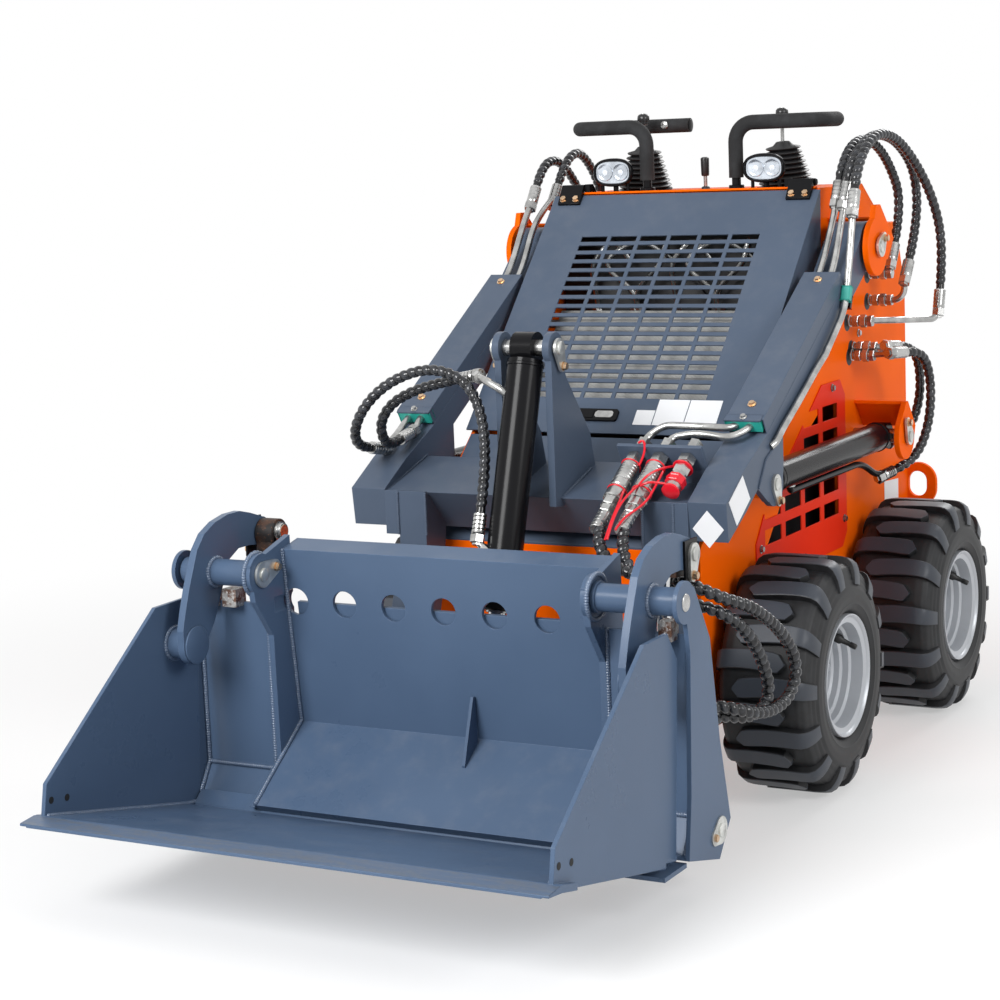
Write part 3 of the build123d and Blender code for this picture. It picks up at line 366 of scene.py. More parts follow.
def swept(work, points, radius, sides=12):
    """A round pipe through points, with closed ends."""
    points = [Vector(p) for p in points]
    rings, side = [], None
    for i, point in enumerate(points):
        ahead = (points[min(i + 1, len(points) - 1)] - points[max(i - 1, 0)]).normalized()
        side = carried(side, ahead)
        rings.append(circle(work, point, side, ahead.cross(side), radius, sides))
    bridged(work, rings)


def rounded(route, steps=6, share=0.45):
    """The points of a bent pipe: straight runs with each corner rounded."""
    route = [Vector(p) for p in route]
    points = [route[0]]
    for a, b, c in zip(route, route[1:], route[2:]):
        reach = share * min((b - a).length, (c - b).length)
        first, last = b + (a - b).normalized() * reach, b + (c - b).normalized() * reach
        for i in range(steps + 1):
            t = i / steps
            points.append(first * (1 - t) ** 2 + b * 2 * t * (1 - t) + last * t ** 2)
    return points + [route[-1]]


def bare_metal(name, color, roughness, metallic=1.0, streak=0.10, depth=0.05):
    """Bare or plated metal with soft cloudy wear."""
    metal = Finish(name)
    cloud = metal.noise(34.0, 4.0)
    fine = metal.noise(420.0, 2.0)
    shade = metal.blend(cloud.ramp(0.30, 0.74), tuple(c * 0.62 for c in color), color)
    return metal.close(shade, cloud * streak + (roughness - streak * 0.5), metal.bump(fine, depth, 0.0004),
                       Metallic=metallic)


def moulded(name, color, roughness, grain=300.0, depth=0.06, coat=0.0, shine=0.45):
    """Moulded plastic, rubber or paint of one colour with a faint grain."""
    stuff = Finish(name)
    cloud = stuff.noise(9.0, 3.0)
    fine = stuff.noise(grain, 2.0)
    pale = tuple(c * 1.5 + 0.006 for c in color)
    dusty = stuff.facing_up().ramp(0.5, 1.0) * cloud.ramp(0.45, 0.75) * 0.3
    return stuff.close(stuff.blend(dusty, color, pale), cloud * 0.12 + (roughness - 0.06),
                       stuff.bump(fine, depth, 0.0005), Specular_IOR_Level=shine, Coat_Weight=coat,
                       Coat_Roughness=0.08)


zinc = bare_metal("zinc_plate", (0.56, 0.56, 0.55), 0.25, metallic=0.92)
chrome = bare_metal("hard_chrome", (0.80, 0.81, 0.82), 0.10, streak=0.05, depth=0.01)
black_paint = moulded("black_paint", (0.006, 0.006, 0.007), 0.20, depth=0.02, coat=0.0, shine=0.13)
engine_black = moulded("engine_black", (0.018, 0.018, 0.02), 0.55)

dressed("engine", engine_black)

cooler_metal = Finish("cooler_aluminium")
fin = (cooler_metal.axis("X") * 360.0).repeat()
row = (cooler_metal.axis("Z") * 46.0).repeat()
# Painted shade: the gaps between the fins are coloured darker than the fins.
fin_gap_shade = fin.ramp(0.25, 0.45) * (1.0 - row.ramp(0.80, 0.92))
cooler_color = cooler_metal.blend(fin_gap_shade, (0.30, 0.30, 0.30), (0.66, 0.66, 0.64))
dressed("radiator", cooler_metal.close(cooler_color, cooler_metal.noise(20.0) * 0.1 + 0.34,
                                       cooler_metal.bump(fin_gap_shade, 0.5, 0.001), Metallic=0.55))

SHROUD_Y, SHROUD_Z, SHROUD_THICK = 0.405, 0.93, 0.012
bay = bmesh.new()
for offset in (0.0, SHROUD_THICK):
    bmesh.ops.create_grid(bay, x_segments=1, y_segments=1, size=0.5,
                          matrix=Matrix.Translation((0.0, SHROUD_Y + offset, SHROUD_Z))
                          @ Matrix.Diagonal((0.568, 1, 0.37, 1)) @ Matrix.Rotation(math.pi / 2, 4, "X"))
shroud_rims = [[v for v in bay.verts if abs(v.co.y - y) < 1e-5] for y in (SHROUD_Y, SHROUD_Y + SHROUD_THICK)]
for rim in shroud_rims:
    rim.sort(key=lambda v: math.atan2(v.co.z - SHROUD_Z, v.co.x))
bridged(bay, shroud_rims, (False, False))
for x in (-0.16, 0.0, 0.16):
    turned(bay, [(0, 0.06), (0.02, 0.064), (0.03, 0.05), (0.03, 0.02)], (x, SHROUD_Y, 0.90), (0, -1, 0), 20)
made("bay_shroud", bay, engine_black, "chassis")

bay_pipes = bmesh.new()
for i in range(7):
    x = -0.19 + 0.062 * i
    lean = 0.05 * math.sin(i * 2.1)
    swept(bay_pipes, rounded([(x, 0.395, 0.80), (x + lean, 0.37, 0.93), (x - lean, 0.345, 1.00),
                              (x + 0.05, 0.36, 1.055), (x + 0.08 + lean, 0.38, 1.00)]), 0.0065)
    turned(bay_pipes, [(0, 0.011), (0.022, 0.011)], (x + lean * 0.6, 0.378, 0.89), (0.1 * i - 0.3, -0.1, 1), 6)
made("bay_pipes", bay_pipes, zinc, "chassis")


# ---------------------------------------------------------------- work lamps
# Two oval LED lamps in black die-cast cases: a bevelled rim, a bright reflector with two
# round cells, cooling fins behind, and two short posts on a square foot with one bolt.
lamp_cell = bare_metal("lamp_reflector", (0.80, 0.86, 0.94), 0.14, metallic=0.80, streak=0.04, depth=0.02)
led_face = Finish("led_face")
cell_spot = led_face.noise(700.0, 1.0)
led_face = led_face.close(led_face.blend(cell_spot, (0.62, 0.66, 0.72), (0.82, 0.86, 0.92)),
                          cell_spot * 0.1 + 0.2)
LAMP_X, LAMP_Z, LAMP_BACK_Y, CELL_X, DECK_Z = 0.175, 1.19, 0.449, 0.0185, 1.1462
SIDES = (("left", 1.0), ("right", -1.0))


def oval(work, centre_x, y, half_width, half_height, square=0.82, count=48):
    """Vertices round a lamp's squared oval, at a distance along the machine."""
    points = []
    for i in range(count):
        across, up = math.cos(math.tau * i / count), math.sin(math.tau * i / count)
        points.append(work.verts.new((centre_x + half_width * math.copysign(abs(across) ** square, across),
                                      y, LAMP_Z + half_height * math.copysign(abs(up) ** square, up))))
    return points


for word, side in SIDES:
    centre_x = side * LAMP_X
    case = bmesh.new()
    outline = [(0.4365, 0.0385, 0.0222, 0.70), (0.4335, 0.0398, 0.0232, 0.70), (0.4302, 0.0408, 0.0242, 0.70),
               (0.4304, 0.044, 0.028, 0.76), (0.433, 0.0465, 0.03), (0.438, 0.047, 0.0305)]
    for i in range(5):
        outline += [(0.44 + 0.004 * i, 0.045 - 0.002 * i, 0.0285 - 0.0015 * i),
                    (0.4405 + 0.004 * i, 0.0405 - 0.002 * i, 0.024 - 0.0015 * i),
                    (0.4425 + 0.004 * i, 0.0405 - 0.002 * i, 0.024 - 0.0015 * i),
                    (0.443 + 0.004 * i, 0.045 - 0.002 * i, 0.0285 - 0.0015 * i)]
    outline += [(0.4605, 0.034, 0.018)]
    bridged(case, [oval(case, centre_x, *step) for step in outline])
    for x in (-0.03, 0.03):
        swept(case, [(centre_x + x, 0.446, 1.1465), (centre_x + x, 0.446, 1.1685)], 0.004, 8)
    turned(case, [(0, 0.0215), (0.004, 0.0215)], (centre_x, LAMP_BACK_Y, DECK_Z), (0, 0, 1), 4, math.pi / 4)
    turned(case, [(0, 0.006), (0.012, 0.006)], (centre_x, LAMP_BACK_Y, 1.15), (0, 0, 1), 6)
    lamp_case = made(f"lamp_case_{word}", case, black_paint, "chassis")
    if word == "left":
        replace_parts(lamp_case, "work_lamps")

    bowls = bmesh.new()
    bridged(bowls, [oval(bowls, centre_x, *step) for step in ((0.435, 0.04, 0.0234, 0.70),
                                                              (0.4343, 0.0398, 0.0232, 0.70))])
    for x in (-CELL_X, CELL_X):
        turned(bowls, [(0.0, 0.0176), (-0.0012, 0.018), (-0.0018, 0.0172), (-0.0002, 0.014), (0.001, 0.008),
                       (0.0012, 0.004)], (centre_x + x, 0.434, LAMP_Z), (0, 1, 0), 36)
    made(f"lamp_bowls_{word}", bowls, lamp_cell, "chassis", 50)
    cells = bmesh.new()
    for x in (-CELL_X, CELL_X):
        turned(cells, [(0.0, 0.0062), (0.0008, 0.006), (0.0016, 0.004), (0.0019, 0.0015)],
               (centre_x + x, 0.4346, LAMP_Z), (0, -1, 0), 20)
    made(f"lamp_cells_{word}", cells, led_face, "chassis")


# ---------------------------------------------------------------- grab bars
# Bent steel tube in closed-cell foam sleeves, cut square at the ends and plugged, each on
# a short bare post bolted to the deck.
foam = Finish("foam_sleeve")
cellular = foam.noise(520.0, 3.0, 0.6)
rubbed = foam.noise(24.0, 3.0).ramp(0.40, 0.75)
foam_coat = foam.close(foam.blend(rubbed, (0.016, 0.016, 0.017), (0.03, 0.031, 0.033)),
                       cellular * 0.1 + 0.78, foam.bump(cellular, 0.35, 0.0008), Specular_IOR_Level=0.35)
POST_X, POST_Y, BAR_X, BAR_END_Y, BAR_Z = 0.1035, 0.457, 0.285, 0.626, 1.285
both_sides = (1.0, -1.0)
sleeves, posts, plugs = bmesh.new(), bmesh.new(), bmesh.new()
for side in both_sides:
    corners = [Vector((side * x, y, z)) for x, y, z in (
        (POST_X, POST_Y, 1.171), (POST_X, POST_Y, BAR_Z), (BAR_X, POST_Y, BAR_Z), (BAR_X, BAR_END_Y, BAR_Z),
        (0.075, BAR_END_Y, BAR_Z))]
    path = [corners[0]]
    for a, b, c, bend in zip(corners, corners[1:], corners[2:], (0.04, 0.062, 0.062)):
        first, last = (a - b).normalized(), (c - b).normalized()
        middle = b + (first + last) * bend
        path += [middle - last * bend * math.cos(t) - first * bend * math.sin(t)
                 for t in (math.pi * 0.5 * i / 10 for i in range(11))]
    path.append(corners[-1])
    swept(sleeves, path, 0.0155, 24)
    swept(posts, [(side * POST_X, POST_Y, 1.1465), (side * POST_X, POST_Y, 1.172)], 0.0095, 20)
    turned(posts, [(0, 0.0195), (0.003, 0.0195), (0.0035, 0.0162), (0.009, 0.0162), (0.01, 0.015)],
           (side * POST_X, POST_Y, DECK_Z), (0, 0, 1), 28)
    turned(plugs, [(0, 0.012), (0.0012, 0.0126), (0.0022, 0.0105), (0.0026, 0.002)],
           (side * 0.0752, BAR_END_Y, BAR_Z), (-side, 0, 0), 28)
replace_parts(made("grab_bar_sleeves", sleeves, foam_coat, "chassis", 50), "grab_bars")
made("grab_bar_feet", posts, black_paint, "chassis")
made("grab_bar_plugs", plugs, black_paint, "chassis")


# ---------------------------------------------------------------- drive levers
# Each lever stands in a moulded rubber bellows and ends in a turned plastic knob; a small
# throttle lever with its own knob stands between them on a round foot.
boot_rubber = moulded("boot_rubber", (0.014, 0.014, 0.015), 0.42)
knob_plastic = moulded("knob_plastic", (0.013, 0.013, 0.014), 0.28)
LEVER_X, LEVER_Y, THROTTLE_X = 0.163, 0.572, -0.018
levers, knobs, silver_caps = bmesh.new(), bmesh.new(), bmesh.new()
for side in both_sides:
    profile = [(0.0, 0.059), (0.004, 0.059)]
    for i in range(8):
        share = i / 8
        outer, inner = 0.058 - 0.023 * share, 0.047 - 0.021 * share
        base = 0.006 + 0.0102 * i
        profile += [(base, inner), (base + 0.003, outer - 0.002), (base + 0.0051, outer),
                    (base + 0.0072, outer - 0.002)]
    profile += [(0.088, 0.022), (0.096, 0.014), (0.097, 0.006)]
    turned(levers, profile, (side * 0.166, 0.58, DECK_Z), (-side * 0.03, -0.08, 1), 40)
    turned(silver_caps, [(0, 0.004), (0.06, 0.004)], (side * LEVER_X, LEVER_Y, 1.24), (0, 0, 1), 14)
    turned(knobs, [(0.0, 0.0075), (0.001, 0.01), (0.004, 0.0108), (0.008, 0.0108), (0.009, 0.0128), (0.014, 0.0136),
                   (0.02, 0.0128), (0.0235, 0.0095), (0.025, 0.004)], (side * LEVER_X, LEVER_Y, 1.2885),
           (0, 0, 1), 28)
    turned(silver_caps, [(0, 0.0052), (0.0008, 0.005), (0.0011, 0.003)], (side * LEVER_X, LEVER_Y, 1.3128),
           (0, 0, 1), 20)
turned(levers, [(0, 0.0095), (0.004, 0.009), (0.006, 0.005)], (THROTTLE_X, LEVER_Y, DECK_Z), (0, 0, 1), 24)
swept(silver_caps, [(THROTTLE_X, LEVER_Y, 1.15), (THROTTLE_X, 0.571, 1.18)], 0.0042)
turned(knobs, [(0, 0.0065), (0.001, 0.0082), (0.004, 0.0088), (0.036, 0.0094), (0.039, 0.0088), (0.041, 0.005)],
       (THROTTLE_X, 0.571, 1.174), (0, -0.02, 1), 24)
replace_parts(made("lever_boots", levers, boot_rubber, "chassis", 60), "drive_levers")
made("lever_knobs", knobs, knob_plastic, "chassis")
made("lever_caps", silver_caps, zinc, "chassis")


# ---------------------------------------------------------------- hood furniture
# Two black folded hinges with a lug each on the deck, a black latch cup with a bright pull
# near the hood's lower edge, and three blank labels beside it.
dressed("hood_hinges", black_paint, edge=0.0006)
HOOD_TOP_Y, HOOD_TOP_Z, HOOD_FOOT_Y, HOOD_FOOT_Z = 0.417, 1.143, -0.018, 0.687
hood_slope = Vector((0.0, HOOD_TOP_Y - HOOD_FOOT_Y, HOOD_TOP_Z - HOOD_FOOT_Z)).normalized()
hood_out = Vector((0.0, -hood_slope.z, hood_slope.y))


def on_hood(x, drop, out=0.0):
    """A point on the hood's face: across, down its slope from the top edge, and out of it."""
    return Vector((x, HOOD_TOP_Y, HOOD_TOP_Z)) - hood_slope * drop + hood_out * out


def plate(work, corners, thick, toward):
    """A flat plate through corners in order, raised by its thickness."""
    low = [work.verts.new(Vector(c)) for c in corners]
    high = [work.verts.new(Vector(c) + Vector(toward) * thick) for c in corners]
    work.faces.new(low[::-1])
    work.faces.new(high)
    for i in range(len(low)):
        work.faces.new((low[i], low[(i + 1) % len(low)], high[(i + 1) % len(low)], high[i]))


def upright(x, *corners):
    """Corners given as (y, z), all at one distance across the machine."""
    return [(x, y, z) for y, z in corners]


def brick(work, middle, size, along=(0, 1, 0), up=(0, 0, 1)):
    """A block with broken edges, its length laid along a direction."""
    along, up = Vector(along).normalized(), Vector(up)
    across = along.cross(up).normalized()
    up = across.cross(along)
    half = Vector(size) * 0.5
    shape = bmesh.ops.create_cube(work, size=1.0)["verts"]
    for v in shape:
        c = v.co.copy()
        v.co = Vector(middle) + across * c.x * 2 * half.x + along * c.y * 2 * half.y + up * c.z * 2 * half.z
    edges = {e for v in shape for e in v.link_edges}
    bmesh.ops.bevel(work, geom=list(edges), offset=min(half) * 0.22, segments=2, affect="EDGES", profile=0.7)


lugs, deck_lip = bmesh.new(), bmesh.new()
for side in both_sides:
    plate(lugs, upright(side * 0.2255, (0.4222, 1.1463), (0.4222, 1.1668), (0.4398, 1.1668), (0.458, 1.1463)),
          0.0112, (side, 0, 0))
    turned(lugs, [(0, 0.0072), (0.003, 0.0072), (0.0038, 0.006)], (side * 0.29, 0.431, 1.158), (side, 0, 0), 6)
brick(deck_lip, (0.0, 0.4255, 1.1476), (0.588, 0.012, 0.004))
made("hinge_lugs", lugs, black_paint, "chassis")
made("deck_lip", deck_lip, orange_coat, "chassis")
button = bmesh.new()
turned(button, [(0, 0.0085), (0.003, 0.0085), (0.004, 0.007)], (-0.1296, 0.6105, 1.2871), (0, -1, 0), 24)
made("bar_button", button, zinc, "chassis")

LATCH_THICK = 0.0055
latch = bmesh.new()
plate(latch, [on_hood(x, drop) for x, drop in (
    (-0.08, 0.574), (0.023, 0.574), (0.027, 0.578), (0.027, 0.598), (0.023, 0.602), (-0.08, 0.602),
    (-0.084, 0.598), (-0.084, 0.578))], LATCH_THICK, hood_out)
plate(latch, [on_hood(x, drop, LATCH_THICK) for x, drop in (
    (-0.078, 0.579), (-0.026, 0.579), (-0.026, 0.597), (-0.078, 0.597))], 0.0014, hood_out)
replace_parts(made("latch_cup", latch, black_paint, "hood"), "hood_latch")
pull = bmesh.new()
plate(pull, [on_hood(x, drop, LATCH_THICK) for x, drop in (
    (-0.018, 0.58), (0.014, 0.58), (0.018, 0.584), (0.018, 0.592), (0.014, 0.596), (-0.018, 0.596),
    (-0.022, 0.592), (-0.022, 0.584))], 0.0016, hood_out)
made("latch_pull", pull, zinc, "hood")

label_white = moulded("label_white", (0.84, 0.85, 0.87), 0.40, grain=90.0, depth=0.02)
labels = bmesh.new()
for x0, x1, top, bottom in ((0.064, 0.104, 0.572, 0.608), (0.106, 0.172, 0.545, 0.608), (0.174, 0.242, 0.545, 0.608)):
    plate(labels, [on_hood(x, drop, 0.0002) for x, drop in ((x0, top), (x1, top), (x1, bottom), (x0, bottom))],
          0.0006, hood_out)
made("hood_labels", labels, label_white, "hood")


# ---------------------------------------------------------------- wheels
# Four wide traction tyres on pressed eight-inch rims. Fourteen rounded bars reach in from
# each shoulder in turn, with fine ribs between them, over a plain sidewall and bead ring.
TYRE_RADIUS, BEAD_RADIUS, WHEEL_X, FRONT_WHEEL_Y, WHEEL_PITCH = 0.2286, 0.103, 0.41, 0.002, 0.70
SKIN_HALF, SKIN_STEPS, SKIN_TURNS = 0.196, 84, 120
BAR_COUNT, BAR_WIDTH, BAR_DEPTH, BAR_START, BAR_STOP, BAR_STEPS = 14, 0.039, 0.014, -0.05, 0.134, 16

tyre_rubber = Finish("tyre_rubber")
tread_place = tyre_rubber.noise(5.0, 3.0)
scuff = tyre_rubber.noise(46.0, 5.0, 0.6)
fine_rubber = tyre_rubber.noise(380.0, 2.0)
highlighted_lug_tops = tyre_rubber.node("ShaderNodeAttribute", {"attribute_name": "lug_top"}, "Fac")
aged = scuff.ramp(0.36, 0.70)
rubber_color = tyre_rubber.blend(aged, (0.006, 0.0064, 0.0074), (0.013, 0.014, 0.016))
# Painted highlight: the tops of the bars are coloured lighter and bluer than the rubber between them.
rubber_color = tyre_rubber.blend(highlighted_lug_tops * (tread_place * 0.5 + 0.62), rubber_color, (0.044, 0.052, 0.067))
tyre_finish = tyre_rubber.close(rubber_color, scuff * 0.18 + 0.44 - highlighted_lug_tops * 0.10,
                                tyre_rubber.bump(fine_rubber + scuff * 0.8, 0.18, 0.0006), Specular_IOR_Level=0.42)

rim_silver = Finish("rim_silver")
rim_cloud = rim_silver.noise(6.0, 3.0)
rim_dirt = rim_silver.noise(60.0, 4.0).ramp(0.62, 0.84)
rim_finish = rim_silver.close(rim_silver.blend(rim_dirt * 0.20, (0.46, 0.48, 0.51), (0.34, 0.35, 0.36)),
                              rim_cloud * 0.10 + 0.30, rim_silver.bump(rim_cloud, 0.01, 0.0004), Metallic=0.35,
                              Coat_Weight=0.10, Coat_Roughness=0.15)
stem_rubber = moulded("stem_rubber", (0.011, 0.011, 0.011), 0.45)


def tyre_skin(across):
    """(x, radius) on the tyre's outer skin at a distance across it from the middle."""
    size = abs(across)
    crown = [(0.0, 0.0, TYRE_RADIUS), (0.06, 0.06, TYRE_RADIUS), (0.076, 0.0755, 0.2262), (0.09, 0.0876, 0.218),
             (0.108, 0.0948, 0.2015), (0.128, 0.0988, 0.182), (0.146, 0.10, 0.1645), (0.166, 0.099, 0.145),
             (0.184, 0.0945, 0.1275), (SKIN_HALF, 0.085, 0.12)]
    for (a, xa, ra), (b, xb, rb) in zip(crown, crown[1:]):
        if size <= b:
            t = (size - a) / (b - a)
            return math.copysign(xa + (xb - xa) * t, across), ra + (rb - ra) * t
    return math.copysign(crown[-1][1], across), crown[-1][2]


def tyre_floor(across):
    """The same under the bars: the tread is deep in the middle and fades out on the sidewall."""
    x, radius = tyre_skin(across)
    size = abs(across)
    depth = BAR_DEPTH * max(0.0, min(1.0, (0.146 - size) / 0.062))
    if 0.094 < size < 0.15:
        depth += 0.0011 * (0.5 + 0.5 * math.cos((size - 0.094) / 0.007 * math.tau))
    lean = min(1.0, max(0.0, (size - 0.07) / 0.065))
    return x - math.copysign(depth * lean, across), radius - depth * (1.0 - 0.55 * lean)


def at_tread(x, radius, angle):
    """A point at a distance across from a wheel's middle, out from its axle and round it."""
    return Vector((x, radius * math.sin(angle), radius * math.cos(angle)))


carcass = bmesh.new()
stations = [-SKIN_HALF + 2 * SKIN_HALF * i / SKIN_STEPS for i in range(SKIN_STEPS + 1)]
profile = [tyre_floor(s) for s in stations]
profile += [(0.0845, 0.1165), (0.082, 0.108), (0.078, BEAD_RADIUS), (-0.078, BEAD_RADIUS), (-0.082, 0.108),
            (-0.0845, 0.1165)]
bead = [i for i, s in enumerate(stations) if 0.168 < abs(s) < 0.176]
profile = [(x + (math.copysign(0.0016, x) if i in bead else 0.0), r) for i, (x, r) in enumerate(profile)]
rings = [[carcass.verts.new(at_tread(x, r, math.tau * j / SKIN_TURNS)) for j in range(SKIN_TURNS)]
         for x, r in profile]
bridged(carcass, rings + rings[:1], (False, False))
carcass_mesh = meshed("tyre_carcass", carcass)

# One bar: a curved block on the skin, rounded at its inner end, with its foot a little sunk.
bar = bmesh.new()
top_mark = bar.verts.layers.float.new("lug_top")
sections = []
for i in range(BAR_STEPS + 1):
    t = i / BAR_STEPS
    across = BAR_START + (BAR_STOP - BAR_START) * t
    bow = 0.01 * math.sin(math.pi * t) - 0.006 * t
    tip = min(1.0, (across - BAR_START) / (BAR_WIDTH * 0.5))
    half = BAR_WIDTH * 0.5 * math.sqrt(max(0.02, 1.0 - (1.0 - tip) ** 2)) * (1.0 - 0.10 * t)
    x, radius = tyre_skin(across)
    fx, fr = tyre_floor(across)
    row = []
    for share, level in ((-1.06, 0.0), (-1.0, 0.90), (-0.90, 1.0), (0.0, 1.0), (0.90, 1.0), (1.0, 0.90), (1.06, 0.0)):
        height = level if level else -0.10
        px, pr = fx + (x - fx) * height, fr + (radius - fr) * height
        vert = bar.verts.new(at_tread(px, pr, (bow + half * share) / TYRE_RADIUS))
        vert[top_mark] = 1.0 if level >= 1.0 else 0.0
        row.append(vert)
    sections.append(row)
for one, two in zip(sections, sections[1:]):
    for j in range(len(one) - 1):
        bar.faces.new((one[j], one[j + 1], two[j + 1], two[j]))
bar.faces.new(sections[0])
bar.faces.new(sections[-1][::-1])
bar_mesh = meshed("tread_bar", bar)


def grown(name, source_mesh, tree, finish, **inputs):
    """The plain mesh that a geometry tree makes of a mesh, with its named inputs set."""
    carrier = bpy.data.objects.new(name, source_mesh)
    bpy.context.scene.collection.objects.link(carrier)
    modifier = carrier.modifiers.new("grown", "NODES")
    modifier.node_group = tree
    sockets = {item.name: item.identifier for item in tree.interface.items_tree if item.in_out == "INPUT"}
    modifier[sockets["Finish"]] = finish
    for key, value in inputs.items():
        modifier[sockets[key.replace("_", " ")]] = value
    plain = bpy.data.meshes.new_from_object(carrier.evaluated_get(bpy.context.evaluated_depsgraph_get()))
    bpy.data.objects.remove(carrier)
    return plain


class Growth:
    """A geometry tree in the making: named inputs, nodes by type, and a finished output."""

    def __init__(self, name, **inputs):
        self.tree = bpy.data.node_groups.new(name, "GeometryNodeTree")
        sockets = self.tree.interface
        sockets.new_socket("Geometry", in_out="INPUT", socket_type="NodeSocketGeometry")
        for key, (kind, value) in inputs.items():
            sockets.new_socket(key.replace("_", " "), in_out="INPUT",
                               socket_type="NodeSocket" + kind).default_value = value
        sockets.new_socket("Finish", in_out="INPUT", socket_type="NodeSocketMaterial")
        sockets.new_socket("Geometry", in_out="OUTPUT", socket_type="NodeSocketGeometry")
        self.start = self.tree.nodes.new("NodeGroupInput").outputs

    def node(self, kind, settings=None, *values, **named):
        return given(wired(self.tree, kind, settings or {}, values, named), 0)

    def maths(self, operation, a, b):
        return self.node("ShaderNodeMath", {"operation": operation}, a, b)

    def close(self, geometry):
        real = self.node("GeometryNodeRealizeInstances", Geometry=geometry)
        real = self.node("GeometryNodeSetMaterial", Geometry=real, Material=self.start["Finish"])
        self.tree.links.new(real, self.tree.nodes.new("NodeGroupOutput").inputs["Geometry"])
        return self.tree


def ring_tree():
    """Repeats a piece round the X axis: how many, and a turn of the whole ring."""
    ring = Growth("ring_of_bars", Count=("Int", 8), Turn=("Float", 0.0))
    spots = ring.node("GeometryNodePoints", Count=ring.start["Count"])
    angle = ring.maths("DIVIDE", ring.maths("MULTIPLY", ring.node("GeometryNodeInputIndex"), math.tau),
                       ring.start["Count"])
    turn = ring.node("ShaderNodeCombineXYZ", X=ring.maths("ADD", angle, ring.start["Turn"]))
    rotation = ring.node("FunctionNodeEulerToRotation", Euler=turn)
    return ring.close(ring.node("GeometryNodeInstanceOnPoints", Points=spots, Instance=ring.start["Geometry"],
                                Rotation=rotation))


ring_of = ring_tree()
bars_out = grown("bars_out", bar_mesh, ring_of, tyre_finish, Count=BAR_COUNT)
mirrored_bar = bar_mesh.copy()
mirrored_bar.transform(Matrix.Diagonal((-1.0, 1.0, 1.0, 1.0)))
mirrored_bar.flip_normals()
bars_in = grown("bars_in", mirrored_bar, ring_of, tyre_finish, Count=BAR_COUNT, Turn=math.pi / BAR_COUNT)

# The rim's profile as (distance out from the wheel's middle, radius), from its centre round.
RIM_FACE = [(0.0955, 0.1185), (0.0962, 0.1165), (0.094, 0.114), (0.09, 0.112), (0.088, 0.108),
            (0.087, 0.1015), (0.064, 0.0985), (0.06, 0.093), (0.048, 0.0915), (0.044, 0.0855),
            (0.033, 0.084), (0.029, 0.079), (0.02, 0.076), (0.0165, 0.069), (0.016, 0.056),
            (0.026, 0.05), (0.03, 0.044), (0.03, 0.03), (0.029, 0.012), (0.029, 0.0)]
RIM_BACK = [(0.0935, 0.119), (0.085, 0.119), (0.083, 0.106), (0.06, 0.103), (-0.06, 0.103),
            (-0.083, 0.106), (-0.085, 0.119), (-0.0935, 0.118), (-0.093, 0.113), (-0.086, 0.101),
            (-0.06, 0.098), (0.0, 0.096), (0.008, 0.082), (0.009, 0.0)]
WHEEL_BOLTS, BOLT_CIRCLE, STEM_CIRCLE = 5, 0.062, 0.086
for side_word, side in SIDES:
    for row_word, row, stem_angle in (("front", 0.0, 0.83), ("rear", 1.0, 0.92)):
        corner = f"{row_word}_{side_word}"
        middle = Vector((side * WHEEL_X, FRONT_WHEEL_Y + row * WHEEL_PITCH, TYRE_RADIUS))
        tyre = bmesh.new()
        for part in (carcass_mesh, bars_out, bars_in):
            tyre.from_mesh(part)
        tyre.transform(Matrix.Translation(middle) @ Matrix.Rotation(0.16 + 0.9 * row, 4, "X"))
        mesh = bpy.data.meshes.new(f"tyre_tread_{corner}")
        tyre.to_mesh(mesh)
        tyre.free()
        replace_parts(placed(f"tyre_tread_{corner}", mesh, f"wheel_{corner}", tyre_finish, 32),
                    f"tyre_{corner}")

        rim = bmesh.new()
        turned(rim, [(side * x, max(r, 0.0015)) for x, r in RIM_FACE[::-1] + RIM_BACK], middle, (1, 0, 0), 72)
        for i in range(WHEEL_BOLTS):
            at = middle + at_tread(side * 0.0165, BOLT_CIRCLE, math.tau * (i + 0.3) / WHEEL_BOLTS)
            turned(rim, [(0, 0.0105), (0.003, 0.0105), (0.0035, 0.0088), (0.013, 0.0088), (0.015, 0.007)],
                   at, (side, 0, 0), 6)
        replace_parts(made(f"rim_wheel_{corner}", rim, rim_finish, f"wheel_{corner}", 30), f"rim_{corner}")
        stem = bmesh.new()
        turned(stem, [(0, 0.009), (0.011, 0.009), (0.015, 0.0056), (0.03, 0.0048), (0.031, 0.0056), (0.043, 0.0056),
                      (0.045, 0.0044)], middle + at_tread(side * 0.0465, STEM_CIRCLE, stem_angle),
               (side, 0.02, -0.42), 16)
        made(f"valve_stem_{corner}", stem, stem_rubber, f"wheel_{corner}")


# ---------------------------------------------------------------- screws and pin keepers
# Zinc and yellow-passivated hexagon screws on washers hold the covers, the vents and the
# hinges; each pivot pin is held by a teardrop zinc keeper with one screw in its tail.
yellow_zinc = bare_metal("yellow_zinc", (0.82, 0.58, 0.38), 0.26)


def joined(tree, *parts):
    """One geometry of several, in a tree in the making."""
    joint = tree.tree.nodes.new("GeometryNodeJoinGeometry")
    for part in parts:
        tree.tree.links.new(part, joint.inputs[0])
    return joint.outputs[0]


